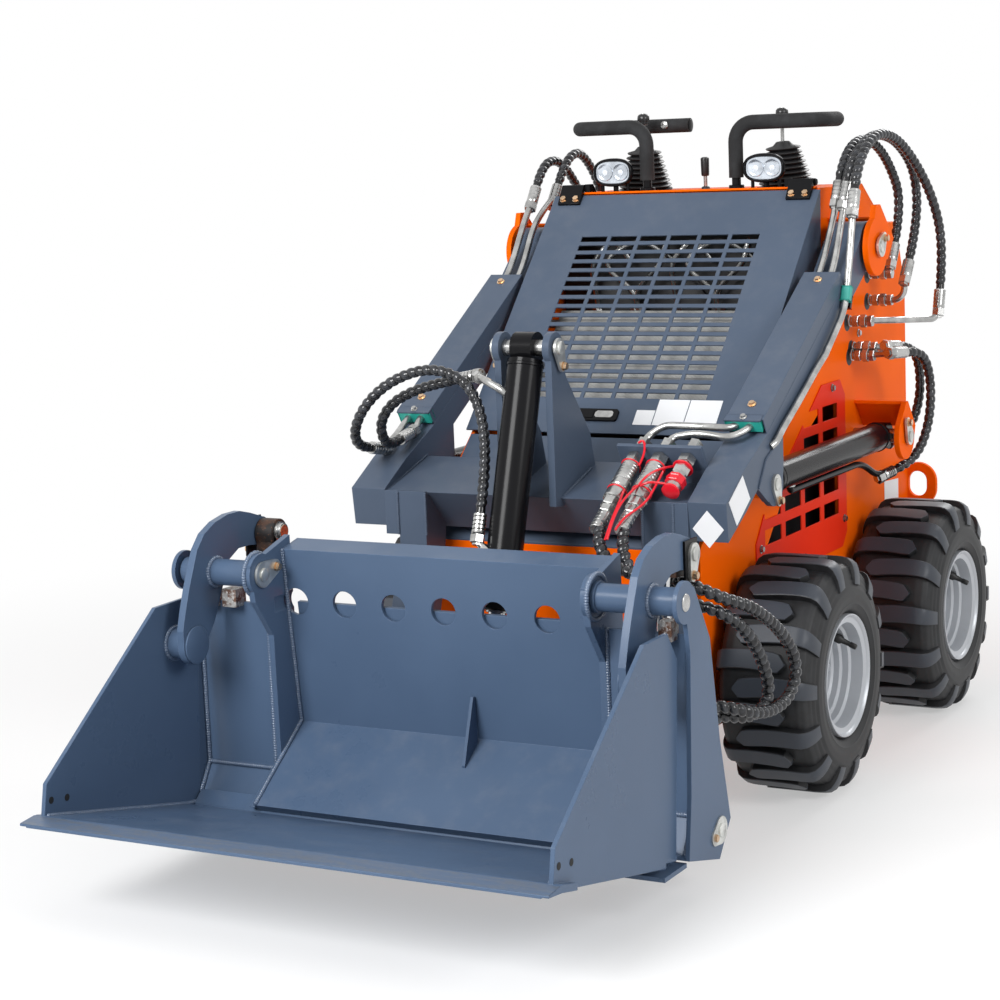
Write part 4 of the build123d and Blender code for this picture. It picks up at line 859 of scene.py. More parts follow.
def screw_tree():
    """Sets a hexagon head on a washer at every point, square to the point's own facing."""
    screw = Growth("set_screws", Head_Radius=("Float", 0.0065), Head_Height=("Float", 0.0045),
                   Washer_Radius=("Float", 0.0085))
    thick = 0.0014

    def drum(sides, radius, height, base):
        shape = screw.node("GeometryNodeMeshCylinder", {"fill_type": "NGON"}, Vertices=sides, Radius=radius,
                           Depth=height)
        half = screw.maths("ADD", screw.maths("MULTIPLY", height, 0.5), base)
        return screw.node("GeometryNodeTransform", Geometry=shape,
                          Translation=screw.node("ShaderNodeCombineXYZ", Z=half))

    height = screw.start["Head Height"]
    washer = drum(20, screw.start["Washer Radius"], thick, 0.0)
    head = drum(6, screw.start["Head Radius"], height, thick)
    crown = drum(16, screw.maths("MULTIPLY", screw.start["Head Radius"], 0.80), screw.maths("MULTIPLY", height, 0.14),
                 screw.maths("ADD", height, thick))
    facing = screw.node("GeometryNodeInputNamedAttribute", {"data_type": "FLOAT_VECTOR"}, Name="facing")
    turn = screw.node("FunctionNodeAlignRotationToVector", {"axis": "Z"}, Vector=facing)
    return screw.close(screw.node("GeometryNodeInstanceOnPoints", Points=screw.start["Geometry"],
                                  Instance=joined(screw, washer, head, crown), Rotation=turn))


set_screws = screw_tree()


def screws(name, spots, finish, body, **sizes):
    """Screws at spots, each a point and the way its head faces."""
    points = bpy.data.meshes.new(name + "_points")
    points.from_pydata([tuple(at) for at, _ in spots], [], [])
    facing = points.attributes.new("facing", "FLOAT_VECTOR", "POINT")
    for i, (_, toward) in enumerate(spots):
        facing.data[i].vector = Vector(toward).normalized()
    placed(name, grown(name + "_points", points, set_screws, finish, **sizes), body)


over_arm_top, down_arm = Vector((0.0, 0.31, 0.964)), Vector((0.0, -0.434, -0.257)).normalized()
arm_out = Vector((0.0, down_arm.z, -down_arm.y))
BODY_SIDE_X, VENT_SIDE_X, REAR_COVER_Y = 0.3001, 0.3031, 0.9491
screws("hinge_screws", [(on_hood(s * x, 0.016, 0.0062), hood_out) for s in both_sides for x in (0.279, 0.249)],
       yellow_zinc, "hood", Head_Radius=0.0066, Washer_Radius=0.0084)
screws("side_screws", [((s * x, y, z), (s, 0, 0)) for x, spots in (
    (BODY_SIDE_X, ((0.642, 0.827),)),
    (VENT_SIDE_X, ((0.472, 0.727), (0.067, 0.453), (0.53, 0.44), (0.30, 0.395))),
    (BODY_SIDE_X, ((0.88, 0.64), (0.88, 0.30)))) for s in both_sides for y, z in spots], zinc, "chassis")
screws("cover_screws", [(over_arm_top + Vector((s * 0.3605, 0, 0)) + down_arm * d + arm_out * 0.0331, arm_out)
                        for s in both_sides for d in (0.047, 0.4546)], yellow_zinc, "arms", Head_Radius=0.0062)
screws("rear_screws", [((x, REAR_COVER_Y, z), (0, 1, 0)) for x in (-0.265, 0.265) for z in (0.45, 0.64, 0.87)]
       + [((x, REAR_COVER_Y, 0.40), (0, 1, 0)) for x in (-0.2, 0.0, 0.2)], zinc, "chassis")


def keeper(work, gold, pin, facing, tail, reach=0.034, size=0.019, thick=0.005, sunk=0.0):
    """A teardrop plate over a pin's end, with a raised boss; the screw in its tail goes to gold."""
    facing, tail = Vector(facing).normalized(), Vector(tail).normalized()
    side = facing.cross(tail)
    outline = []
    for count, start, sweep, along, radius in ((20, 70, 220, 0.0, size), (10, -80, 160, reach, size * 0.58)):
        for i in range(count):
            a = math.radians(start) + math.radians(sweep) * i / (count - 1)
            outline.append(Vector(pin) + tail * (along + math.cos(a) * radius) + side * math.sin(a) * radius)
    plate(work, outline, thick, facing)
    turned(work, [(0, 0.0125), (0.0022, 0.0125), (0.003, 0.0115)], Vector(pin) + facing * thick, facing, 28)
    gold.append((Vector(pin) + tail * reach + facing * (thick - sunk), facing))


# Each pin as (y, z), and each body's keepers: how far out, the pin, which way it faces, its
# tail's direction, then the tail's reach, the round end's size, the thickness and the sinking.
ARM_PIN, LIFT_BASE_PIN, LIFT_EYE_PIN, TILT_BASE_PIN = (0.446, 1.023), (0.609, 0.61), (-0.085, 0.609), (-0.309, 0.885)
JAW_BASE_PIN, JAW_EYE_PIN, JAW_PIVOT = (-0.62, 0.10), (-0.582, 0.566), (-0.735, 0.515)
KEEPERS = {
    "chassis": ("chassis", ((0.4222, ARM_PIN, 1, (0, 0.60, 0.55), 0.024, 0.0215),
                            (0.4222, LIFT_BASE_PIN, 1, (0, -0.45, 1.0)))),
    "arm": ("arms", ((0.3982, LIFT_EYE_PIN, 1, (0, 0.3, -1.0)), (0.0642, TILT_BASE_PIN, 1, (0, 0.30, -1.0), 0.036))),
    "bucket": ("bucket", ((0.5041, JAW_BASE_PIN, 1, (0, -1.0, -0.30), 0.026, 0.024, 0.0028, 0.0043),
                          (0.3292, JAW_PIVOT, -1, (0, 0.72, 0.15), 0.04, 0.0235))),
    "jaw": ("jaw", ((0.4497, JAW_EYE_PIN, 1, (0, -0.25, -1.0), 0.036, 0.0195),)),
}
keeper_zinc = bare_metal("keeper_zinc", (0.74, 0.75, 0.72), 0.30, metallic=0.80)
for name, (body, row) in KEEPERS.items():
    plates, gold = bmesh.new(), []
    for s in both_sides:
        for out, pin, way, tail, *sizes in row:
            keeper(plates, gold, (s * out, *pin), (s * way, 0, 0), tail, *sizes)
    made(f"{name}_pin_keepers", plates, keeper_zinc, body)
    screws(f"{name}_keeper_screws", gold, yellow_zinc, body, Head_Radius=0.0072, Head_Height=0.006,
           Washer_Radius=0.0088)
keeper_backs = bmesh.new()
for s in both_sides:
    plate(keeper_backs, upright(s * 0.4456, (-0.612, 0.592), (-0.562, 0.592), (-0.562, 0.52), (-0.612, 0.52)),
          0.004, (s, 0, 0))
made("jaw_keeper_backs", keeper_backs, black_paint, "jaw")
for node_name in ("chassis_pins", "tilt_pin", "jaw_pins", "hitch_pins", "axle_shafts"):
    dressed(node_name, zinc, edge=0.0012)

LABEL_THICK = 0.0005
side_labels = bmesh.new()
for s in both_sides:
    plate(side_labels, upright(s * 0.3982, (-0.24, 0.648), (-0.207, 0.60), (-0.272, 0.56), (-0.306, 0.608)),
          LABEL_THICK, (s, 0, 0))
plate(side_labels, [(x, -0.3186 + (0.608 - z) * 0.11, z)
                    for x, z in ((0.36, 0.594), (0.391, 0.559), (0.36, 0.524), (0.329, 0.559))],
      LABEL_THICK, (0, -1, -0.11))
made("arm_labels", side_labels, label_white, "arms")
rear_labels = bmesh.new()
for s in both_sides:
    plate(rear_labels, upright(s * 0.3002, (0.793, 0.48), (0.885, 0.474), (0.885, 0.426), (0.793, 0.43)),
          LABEL_THICK, (s, 0, 0))
made("chassis_labels", rear_labels, label_white, "chassis")


# ---------------------------------------------------------------- hard lines and couplers
# Zinc-plated steel tube runs under the arm covers, held by green block clamps, and ends in
# hexagon unions; three flat-face couplers stand through a bracket on the crossbeam, two of
# them with hoses, the third closed by its red dust cap, all with red rings and cords.
for node_name in ("arm_tubes", "bulkhead_fittings", "quick_couplers"):
    dressed(node_name, zinc, edge=0.0008)


def nut_at(work, at, toward, radius, start, stop, chamfer, edge=0.001, sides=6, roll=0.0):
    """A nut from start to stop on an axis; chamfer is how deep its ends are cut, edge how long."""
    turned(work, [(start, radius - chamfer), (start + edge, radius), (stop - edge, radius),
                  (stop, radius - chamfer)], at, toward, sides, roll)


def union(work, at, toward, length=0.046, radius=0.0126, nut=0.014):
    """A crimped ferrule from a hose's end, its rings pressed in, and the hexagon nut beyond it."""
    toward = Vector(toward).normalized()
    rings = [(0.0, radius - 0.0012), (0.0012, radius)]
    for i in range(4):
        base = 0.005 + (length - 0.02) * i / 3
        rings += [(base, radius), (base + 0.0006, radius - 0.0006), (base + 0.0022, radius - 0.0006),
                  (base + 0.0028, radius)]
    rings += [(length - 0.006, radius), (length - 0.004, radius - 0.0016), (length - 0.0035, 0.0088)]
    turned(work, rings, at, toward, 28)
    turned(work, [(0, nut - 0.001), (0.001, nut), (0.015, nut), (0.016, nut - 0.001), (0.0162, 0.009), (0.02, 0.009)],
           Vector(at) + toward * (length - 0.004), toward, 6)


def millimetres(route, side=1.0):
    """A route's points in metres, mirrored for the other side of the machine where side is -1."""
    return [Vector((p[0] * side, p[1], p[2])) * 0.001 for p in route]


def end_union(work, route, first=False, *sizes):
    """A union at the end of a route, or at its start, pointing on along it."""
    end, before = (route[0], route[1]) if first else (route[-1], route[-2])
    union(work, end, end - before, *sizes)


TOWER_HOSES = (
    ((352, 735, 1012), (352, 790, 1100), (352, 705, 1190), (350, 612, 1238), (346, 520, 1240), (344, 449, 1200),
     (344, 427, 1157)),
    ((385, 733, 975), (385, 797, 1060), (385, 781, 1168), (385, 673, 1231), (385, 561, 1252), (383, 470, 1240),
     (374, 421, 1193), (371, 404, 1155)),
    ((440, 775, 910), (440, 800, 1000), (435, 760, 1100), (420, 680, 1190), (410, 570, 1250), (403, 460, 1250),
     (400, 380, 1190), (403, 355, 1141)),
    ((-384, 726, 975), (-384, 745, 1060), (-380, 690, 1135), (-376, 610, 1200), (-375, 550, 1222),
     (-375, 490, 1208), (-375, 457, 1162)),
    ((-352, 735, 1012), (-352, 757, 1085), (-350, 715, 1165), (-347, 655, 1218), (-345, 600, 1238),
     (-345, 540, 1212), (-345, 503, 1163)),
)
LIFT_HOSES = (
    ((410, 628, 788), (424, 668, 786), (431, 705, 762), (434, 722, 715), (434, 722, 665), (432, 706, 618),
     (424, 682, 575), (408, 648, 546), (386, 612, 534)),
    ((385, 656, 798), (392, 690, 795), (401, 722, 776), (404, 739, 741), (404, 742, 694), (400, 730, 650),
     (392, 705, 618), (382, 674, 606)),
)
TILT_HOSES = (
    ((-374, -277, 682), (-377, -318, 689), (-366, -350, 724), (-338, -356, 772), (-290, -350, 816),
     (-225, -345, 843), (-170, -345, 846), (-120, -340, 826), (-85, -348, 780), (-62, -372, 716), (-52, -400, 646),
     (-48, -427, 588)),
    ((-340, -222, 692), (-341, -257, 685), (-339, -290, 703), (-330, -308, 740), (-303, -310, 774),
     (-262, -304, 797), (-205, -303, 814), (-150, -310, 824)),
)
JAW_HOSES = (
    ((185, -376, 592), (190, -425, 563), (225, -470, 525), (300, -505, 505), (375, -530, 505), (425, -565, 514),
     (470, -572, 500), (498, -535, 478), (513, -486, 461), (520, -384, 404), (524, -322, 346), (524, -311, 296),
     (522, -356, 263), (518, -440, 261), (505, -516, 282), (470, -540, 296), (446, -562, 291)),
    ((235, -376, 592), (238, -424, 562), (262, -456, 510), (330, -485, 462), (395, -520, 462), (440, -556, 474),
     (485, -545, 460), (505, -498, 425), (510, -439, 363), (510, -402, 297), (505, -419, 263), (495, -481, 260),
     (465, -515, 272), (445, -545, 264)),
)
arm_unions, tower_unions = bmesh.new(), bmesh.new()
for route in TOWER_HOSES:
    end_union(arm_unions, millimetres(route))
    end_union(tower_unions, millimetres(route), True)
for route in TILT_HOSES:
    end_union(arm_unions, millimetres(route), True)
for route in LIFT_HOSES:
    for s in both_sides:
        end_union(tower_unions, millimetres(route, s), True)
# Unions where each line leaves the side plate: a locknut, a body and swivel nuts in a row.
BULKHEAD_X = 0.30
BULKHEAD_NUTS = ((0.0004, 0.0135, 0.006), (0.0066, 0.01, 0.005), (0.0118, 0.013, 0.013), (0.025, 0.0108, 0.003),
                 (0.0282, 0.014, 0.013), (0.0414, 0.0105, 0.003), (0.0446, 0.0128, 0.011))
bulkhead_hole_shade = bmesh.new()
for y, z, sides in ((0.71, 0.951, both_sides), (0.707, 0.893, both_sides), (0.591, 0.784, both_sides),
                    (0.603, 0.80, both_sides), (0.582, 0.858, (1.0,))):
    for s in sides:
        # Painted shade: a dark disc on the plate, a little forward of and below each union, stands for the shade in its
        # hole.
        turned(bulkhead_hole_shade, [(0, 0.0185), (0.0003, 0.0185)], (s * BULKHEAD_X, y - 0.006, z - 0.003), (s, 0, 0), 24)
        for start, nut, length in BULKHEAD_NUTS:
            nut_at(tower_unions, (s * (BULKHEAD_X + start), y, z), (s, 0, 0), nut, 0, length, 0.0008, 0.0008,
                   6 if nut > 0.011 else 20, s * start * 30)
made("arm_unions", arm_unions, zinc, "arms")
made("tower_unions", tower_unions, zinc, "chassis")
made("bulkhead_hole_shade", bulkhead_hole_shade, engine_black, "chassis")
outer_tube = bmesh.new()
swept(outer_tube, rounded([(0.408, 0.176, 0.841), (0.408, 0.163, 0.83), (0.4055, 0.12, 0.806),
                           (0.4055, 0.03, 0.757), (0.4055, -0.06, 0.712), (0.4055, -0.096, 0.69),
                           (0.399, -0.106, 0.683)]), 0.0072, 14)
made("outer_arm_tube_end", outer_tube, zinc, "arms")

clamp_green = moulded("clamp_green", (0.02, 0.33, 0.27), 0.40)
clamps, strips, clamp_screws = bmesh.new(), bmesh.new(), []
for s in both_sides:
    end = over_arm_top + down_arm * 0.496 + arm_out * 0.02 + Vector((s * 0.3575, 0, 0))
    brick(clamps, end, (0.07, 0.016, 0.022), down_arm, arm_out)
    brick(strips, end + arm_out * 0.0125, (0.074, 0.018, 0.003), down_arm, arm_out)
    clamp_screws.append((end + arm_out * 0.014, arm_out))
outer_way = (0, -0.394, -0.919)
brick(clamps, (0.4085, 0.284, 0.938), (0.016, 0.03, 0.019), outer_way, (1, 0, 0))
clip = bmesh.new()
brick(clip, (0.406, 0.297, 0.92), (0.01, 0.026, 0.016), outer_way, (1, 0, 0))
clamp_screws.append(((0.406, 0.302, 0.93), (0.25, 1, 0)))
made("tube_clamps", clamps, clamp_green, "arms")
made("clamp_strips", strips, slate_coat, "arms")
made("clamp_clip", clip, black_paint, "arms")
screws("clamp_screws", clamp_screws, zinc, "arms", Head_Radius=0.0055, Washer_Radius=0.007)

COUPLER_Y, COUPLER_Z = -0.235, 0.678
coupler_way = Vector((0.0, -0.855, -0.518)).normalized()
coupler_out = Vector((0.0, -0.518, 0.855)).normalized()
coupler_parts, caps = bmesh.new(), bmesh.new()
cap_red = moulded("cap_red", (0.72, 0.008, 0.022), 0.30, coat=0.1)


def on_coupler(x, along, out=0.0):
    """A point by the couplers: across the machine, down their common slope, and up off their axes."""
    return Vector((x, COUPLER_Y, COUPLER_Z)) + coupler_way * along + coupler_out * out


COUPLERS, CAPPED_X, BACK_NUT = (0.185, 0.235), 0.29, (0.0145, -0.04, -0.013, 0.0015)
for x in COUPLERS:
    at = on_coupler(x, 0.0)
    nut_at(coupler_parts, at, coupler_way, *BACK_NUT)
    turned(coupler_parts, [(0.0046, 0.015), (0.0056, 0.0168), (0.026, 0.0168), (0.0274, 0.015)], at, coupler_way,
           6, 0.3)
    sleeve = [(0.028, 0.015), (0.036, 0.015), (0.038, 0.0182)]
    for i in range(5):
        sleeve += [(0.042 + 0.008 * i, 0.0188), (0.0442 + 0.008 * i, 0.0176), (0.0468 + 0.008 * i, 0.0176),
                   (0.049 + 0.008 * i, 0.0188)]
    turned(coupler_parts, sleeve + [(0.083, 0.0188), (0.0845, 0.016), (0.089, 0.016)], at, coupler_way, 36)
    turned(coupler_parts, [(0.089, 0.015), (0.091, 0.019), (0.10, 0.0192), (0.102, 0.0174), (0.109, 0.0174),
                           (0.111, 0.019), (0.129, 0.019), (0.131, 0.0165)], at, coupler_way, 36)
    turned(coupler_parts, [(0.1312, 0.015), (0.1322, 0.017), (0.15, 0.017), (0.1515, 0.015)], at, coupler_way, 6)
    union(coupler_parts, at + coupler_way * 0.214, -coupler_way, 0.048, 0.0134, 0.0148)
capped = on_coupler(CAPPED_X, 0.0)
nut_at(coupler_parts, capped, coupler_way, *BACK_NUT)
turned(coupler_parts, [(0.0046, 0.015), (0.0056, 0.0172), (0.024, 0.0172), (0.0252, 0.015), (0.036, 0.015),
                       (0.0366, 0.0165), (0.054, 0.0165), (0.055, 0.015), (0.06, 0.015), (0.061, 0.0176),
                       (0.066, 0.0176)], capped, coupler_way, 6, 0.2)
turned(caps, [(0.064, 0.0165), (0.065, 0.0196), (0.07, 0.0202), (0.0715, 0.019), (0.08, 0.019), (0.0815, 0.0178),
              (0.083, 0.0178)], capped, coupler_way, 8, 0.2)
turned(caps, [(0.08, 0.015), (0.096, 0.015), (0.0965, 0.0172), (0.10, 0.0172), (0.101, 0.015),
              (0.104, 0.008)], capped, coupler_way, 32)
made("coupler_bodies", coupler_parts, zinc, "arms", 30)

# Red rings round the necks, and the cords of the dust caps looping between them.
for along, places in ((0.031, (*COUPLERS, CAPPED_X)), (0.105, COUPLERS)):
    for x in places:
        turned(caps, [(0.0, 0.017), (0.0004, 0.0192), (0.0016, 0.02), (0.003, 0.0192), (0.0034, 0.017)],
               on_coupler(x, along), coupler_way, 28)
CAP_CORDS = (
    ((0.254, 0.033, 0.002), (0.264, 0.055, 0.014), (0.268, 0.10, 0.018), (0.263, 0.145, 0.012),
     (0.248, 0.18, 0.016), (0.24, 0.205, 0.02), (0.232, 0.225, 0.012)),
    ((0.27, 0.033, 0.004), (0.262, 0.055, 0.018), (0.25, 0.08, 0.026), (0.24, 0.098, 0.024),
     (0.235, 0.106, 0.019)),
    ((0.28, 0.09, 0.01), (0.264, 0.10, 0.022), (0.25, 0.108, 0.026), (0.24, 0.11, 0.02)),
    ((0.203, 0.034, 0.004), (0.2095, 0.022, 0.014), (0.2085, 0.002, 0.024), (0.20, -0.012, 0.03),
     (0.194, -0.002, 0.028)),
    ((0.235, 0.107, 0.019), (0.233, 0.14, 0.03), (0.228, 0.18, 0.032), (0.224, 0.215, 0.022),
     (0.222, 0.245, 0.006)),
    ((0.203, 0.107, 0.006), (0.21, 0.122, 0.018), (0.216, 0.16, 0.02), (0.215, 0.20, 0.014),
     (0.214, 0.24, 0.00)),
)


def flowing(route, fineness):
    """Points along the smooth line that a route's corners pull towards them."""
    data = bpy.data.curves.new("flowing_line", "CURVE")
    data.dimensions = "3D"
    line = data.splines.new("NURBS")
    line.points.add(len(route) - 1)
    for point, corner in zip(line.points, route):
        point.co = (*corner, 1.0)
    line.order_u, line.use_endpoint_u, line.resolution_u = 3, True, fineness
    holder = bpy.data.objects.new("flowing_line", data)
    bpy.context.scene.collection.objects.link(holder)
    run = bpy.data.meshes.new_from_object(holder.evaluated_get(bpy.context.evaluated_depsgraph_get()))
    bpy.data.objects.remove(holder)
    return [v.co.copy() for v in run.vertices]


for route in CAP_CORDS:
    swept(caps, flowing([on_coupler(*corner) for corner in route], 6), 0.0023, 8)
made("coupler_caps", caps, cap_red, "arms", 35)


# ---------------------------------------------------------------- hoses
# Rubber pressure hoses in a close black spiral guard, bedded so deep that each turn
# stands up like a bead; the guard stops short of the ferrules at both ends.
guard_plastic = Finish("guard_plastic")
guard_wear_and_glint = guard_plastic.noise(60.0, 4.0, 0.6)
crest_glint = guard_plastic.node("ShaderNodeAttribute", {"attribute_name": "crest"}, "Fac")
# Painted highlight: the crest of each turn is coloured lighter and bluer in patches, standing in for its glint.
guard_color = guard_plastic.blend(crest_glint * guard_wear_and_glint.ramp(0.30, 0.70) * 0.8, (0.006, 0.006, 0.007),
                                  (0.058, 0.063, 0.074))
guard_finish = guard_plastic.close(guard_color, guard_wear_and_glint * 0.10 + 0.13, guard_plastic.bump(guard_wear_and_glint, 0.06, 0.0006))
GUARD_STOP, GUARD_RINGS, GUARD_SIDES = 0.012, 7, 14


def guarded(name, route, node, pitch=0.0165, swell=0.0024, core=0.0094):
    """A hose along a route in place of a node's, its guard wound on it as a rising spiral."""
    points = flowing(route, 24)
    spans = [(b - a).length for a, b in zip(points, points[1:])]
    total = sum(spans)
    count = int(total / (pitch / GUARD_RINGS))
    work = bmesh.new()
    crest = work.verts.layers.float.new("crest")
    rings, side, index, passed = [], None, 0, 0.0
    for i in range(count + 1):
        distance = total * i / count
        while index < len(spans) - 1 and passed + spans[index] < distance:
            passed += spans[index]
            index += 1
        share = min(1.0, (distance - passed) / spans[index]) if spans[index] else 0.0
        at = points[index].lerp(points[index + 1], share)
        ahead = (points[min(index + 2, len(points) - 1)] - points[max(index - 1, 0)]).normalized()
        side = carried(side, ahead)
        other = ahead.cross(side)
        wrapped = GUARD_STOP < distance < total - GUARD_STOP
        row = []
        for j in range(GUARD_SIDES):
            a = math.tau * j / GUARD_SIDES
            phase = (distance / pitch - j / GUARD_SIDES) % 1.0
            bead = max(0.0, math.sin(math.pi * min(1.0, phase / 0.86))) ** 0.55 if wrapped else 0.0
            radius = core + swell * (bead - 0.5) if wrapped else core - 0.0006
            row.append(work.verts.new(at + (side * math.cos(a) + other * math.sin(a)) * radius))
            row[-1][crest] = bead
        rings.append(row)
    bridged(work, rings)
    hose = placed(name, meshed(name, work), None, guard_finish, 70)
    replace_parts(hose, node)
    return hose


for letter, route in zip("ABCDE", TOWER_HOSES):
    points = millimetres(route)
    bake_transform(guarded(f"tower_hose_{letter}", points, "tower_hoses"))
for letter, route in zip("AB", LIFT_HOSES):
    for word, s in SIDES:
        points = millimetres(route, s)
        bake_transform(guarded(f"lift_hose_{letter}_{word}", points, "lift_hoses"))
for letter, route in zip("AB", TILT_HOSES):
    points = millimetres(route)
    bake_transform(guarded(f"tilt_hose_{letter}", points, "tilt_hoses"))
for letter, route in zip("AB", JAW_HOSES):
    points = millimetres(route)
    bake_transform(guarded(f"jaw_hose_{letter}", points, "jaw_hoses", 0.017, 0.0036, 0.0098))


# ---------------------------------------------------------------- cylinders
# Welded tube barrels in gloss black with a screwed gland and a zinc wiper ring, hard
# chromed rods, and forged eyes; port unions stand at the ends of the hoses.
for node_name in ("lift_left_barrel", "lift_right_barrel", "tilt_barrel", "jaw_left_barrel", "jaw_right_barrel"):
    dressed(node_name, black_paint, edge=0.0012)
for node_name in ("lift_left_rod", "lift_right_rod", "tilt_rod"):
    dressed(node_name, chrome, edge=0.0012)
rust = Finish("rusty_forging")
fleck = rust.noise(210.0, 4.0, 0.65)
patch = rust.noise(40.0, 4.0)
rust_color = rust.blend(patch.ramp(0.42, 0.66), (0.014, 0.012, 0.012), (0.062, 0.028, 0.016))
rust_color = rust.blend(fleck.ramp(0.60, 0.68) * 0.6, rust_color, (0.30, 0.13, 0.06))
rust_finish = rust.close(rust_color, fleck * 0.25 + 0.42, rust.bump(fleck, 0.35, 0.0008), Metallic=0.35)

# Name, place across, base pin and eye pin as (y, z), barrel and rod radius, barrel's length.
LIFT_X, JAW_ROD_X = 0.36, 0.398
CYLINDERS = (
    ("lift_left", LIFT_X, LIFT_BASE_PIN, LIFT_EYE_PIN, 0.03, 0.016, 0.632),
    ("lift_right", -LIFT_X, LIFT_BASE_PIN, LIFT_EYE_PIN, 0.03, 0.016, 0.632),
    ("tilt", 0.0, TILT_BASE_PIN, (-0.496, 0.30), 0.034, 0.018, 0.494),
    ("jaw_left", JAW_ROD_X, JAW_BASE_PIN, JAW_EYE_PIN, 0.025, 0.013, 0.2675),
    ("jaw_right", -JAW_ROD_X, JAW_BASE_PIN, JAW_EYE_PIN, 0.025, 0.013, 0.2675),
)
for name, x, base, eye, barrel_radius, rod_radius, head in CYLINDERS:
    start = Vector((x, *base))
    way = (Vector((x, *eye)) - start).normalized()
    gland = bmesh.new()
    turned(gland, [(head + along, barrel_radius + out) for along, out in (
        (-0.026, -0.001), (-0.0255, 0.0022), (-0.016, 0.0022), (-0.0155, 0.0004), (-0.0145, 0.0004),
        (-0.014, 0.0018), (-0.002, 0.0018), (0.001, -0.002))] + [(head + 0.0014, rod_radius + 0.004)],
        start, way, 40)
    turned(gland, [(along, barrel_radius + out) for along, out in (
        (0.03, -0.001), (0.032, 0.0018), (0.036, 0.0018), (0.038, -0.001))], start, way, 40)
    made(f"{name}_gland", gland, black_paint, f"{name}_barrel")
    ring = bmesh.new()
    turned(ring, [(head + 0.0012, rod_radius + 0.0055), (head + 0.004, rod_radius + 0.005),
                  (head + 0.0046, rod_radius + 0.001)], start, way, 32)
    made(f"{name}_wiper", ring, zinc, f"{name}_barrel")

port_unions = {body: bmesh.new() for body in ("tilt_barrel", "lift_left_barrel", "lift_right_barrel",
                                              "jaw_left_barrel")}
for route in TILT_HOSES:
    end_union(port_unions["tilt_barrel"], millimetres(route), False, 0.044)
for route in (((-112, -315, 831), (-72, -350, 829), (-34, -356, 812), (-20, -352, 800)),
              ((-46, -437, 567), (-44, -450, 540), (-22, -448, 520))):
    swept(port_unions["tilt_barrel"], rounded(millimetres(route)), 0.0074, 14)
turned(port_unions["tilt_barrel"], [(0, 0.0125), (0.014, 0.0125)], (-0.10, -0.3255, 0.8305), (1, -0.85, -0.05), 6)
turned(port_unions["tilt_barrel"], [(0, 0.012), (0.014, 0.012)], (-0.036, -0.449, 0.5285), (0.8, 0.05, -0.7), 6)
for word, s in SIDES:
    ports = port_unions[f"lift_{word}_barrel"]
    for route, length in zip(LIFT_HOSES, (0.034, 0.036)):
        end_union(ports, millimetres(route, s), False, length)
    turned(ports, [(0, 0.012), (0.014, 0.012)], (s * LIFT_X, 0.083, 0.578), (0, 0, 1), 6)
for route, length in zip(JAW_HOSES, (0.033, 0.038)):
    end_union(port_unions["jaw_left_barrel"], millimetres(route), False, length)
for body, work in port_unions.items():
    made(f"{body}_ports", work, zinc, body)

# Each jaw rod: the bright bar, its forged eye with the block under it, a stepped washer
# inside the eye, and the pin's end face.
for word, s in SIDES:
    rod, rod_eye, washers, pin_faces = bmesh.new(), bmesh.new(), bmesh.new(), bmesh.new()
    start, top = Vector((s * JAW_ROD_X, *JAW_BASE_PIN)), Vector((s * JAW_ROD_X, *JAW_EYE_PIN))
    turned(rod, [(0.222, 0.012), (0.223, 0.013), (0.446, 0.013)], start, top - start, 32)
    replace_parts(made(f"jaw_{word}_rod_bar", rod, chrome, f"jaw_{word}_rod"), f"jaw_{word}_rod")
    turned(rod_eye, [(0, 0.0262), (0.0012, 0.0275), (0.0363, 0.0275), (0.0375, 0.0262)], (s * 0.392, -0.582, 0.562),
           (s, 0, 0), 40)
    brick(rod_eye, (s * 0.41075, -0.5832, 0.5488), (0.044, 0.046, 0.0375), (0, 0.08, 1), (s, 0, 0))
    made(f"jaw_{word}_eye", rod_eye, rust_finish, f"jaw_{word}_rod")
    turned(washers, [(0, 0.0185), (0.002, 0.0185), (0.0024, 0.0158), (0.0095, 0.0155), (0.0105, 0.014)],
           (s * 0.3918, *JAW_EYE_PIN), (-s, 0, 0), 32)
    made(f"jaw_{word}_washer", washers, zinc, f"jaw_{word}_rod")
    turned(pin_faces, [(0, 0.0128), (0.0006, 0.0124)], (s * 0.3813, *JAW_EYE_PIN), (-s, 0, 0), 32)
    made(f"jaw_{word}_pin_face", pin_faces, yellow_zinc, f"jaw_{word}_rod")


# ---------------------------------------------------------------- welds
# Painted weld beads, laid as overlapping ripples along each joint of the plate work.
def weld_tree():
    """Lays flattened ripples along a line of edges, a little unequal, under one seed."""
    bead = Growth("weld_bead", Radius=("Float", 0.0032), Spacing=("Float", 0.0034), Seed=("Int", 3))
    line = bead.node("GeometryNodeMeshToCurve", Mesh=bead.start["Geometry"])
    spots = bead.node("GeometryNodeResampleCurve", {"mode": "LENGTH"}, Curve=line, Length=bead.start["Spacing"])
    turn = bead.node("FunctionNodeAlignRotationToVector", {"axis": "Z"}, Vector=bead.node("GeometryNodeInputTangent"))
    drop = bead.node("GeometryNodeMeshUVSphere", Segments=8, Rings=5, Radius=bead.start["Radius"])
    uneven = bead.node("FunctionNodeRandomValue", {"data_type": "FLOAT_VECTOR"}, Min=(0.92, 0.92, 0.72),
                       Max=(1.10, 1.10, 0.86), Seed=bead.start["Seed"])
    laid = bead.node("GeometryNodeInstanceOnPoints", Points=spots, Instance=drop, Rotation=turn, Scale=uneven)
    return bead.close(laid)


lay_weld = weld_tree()


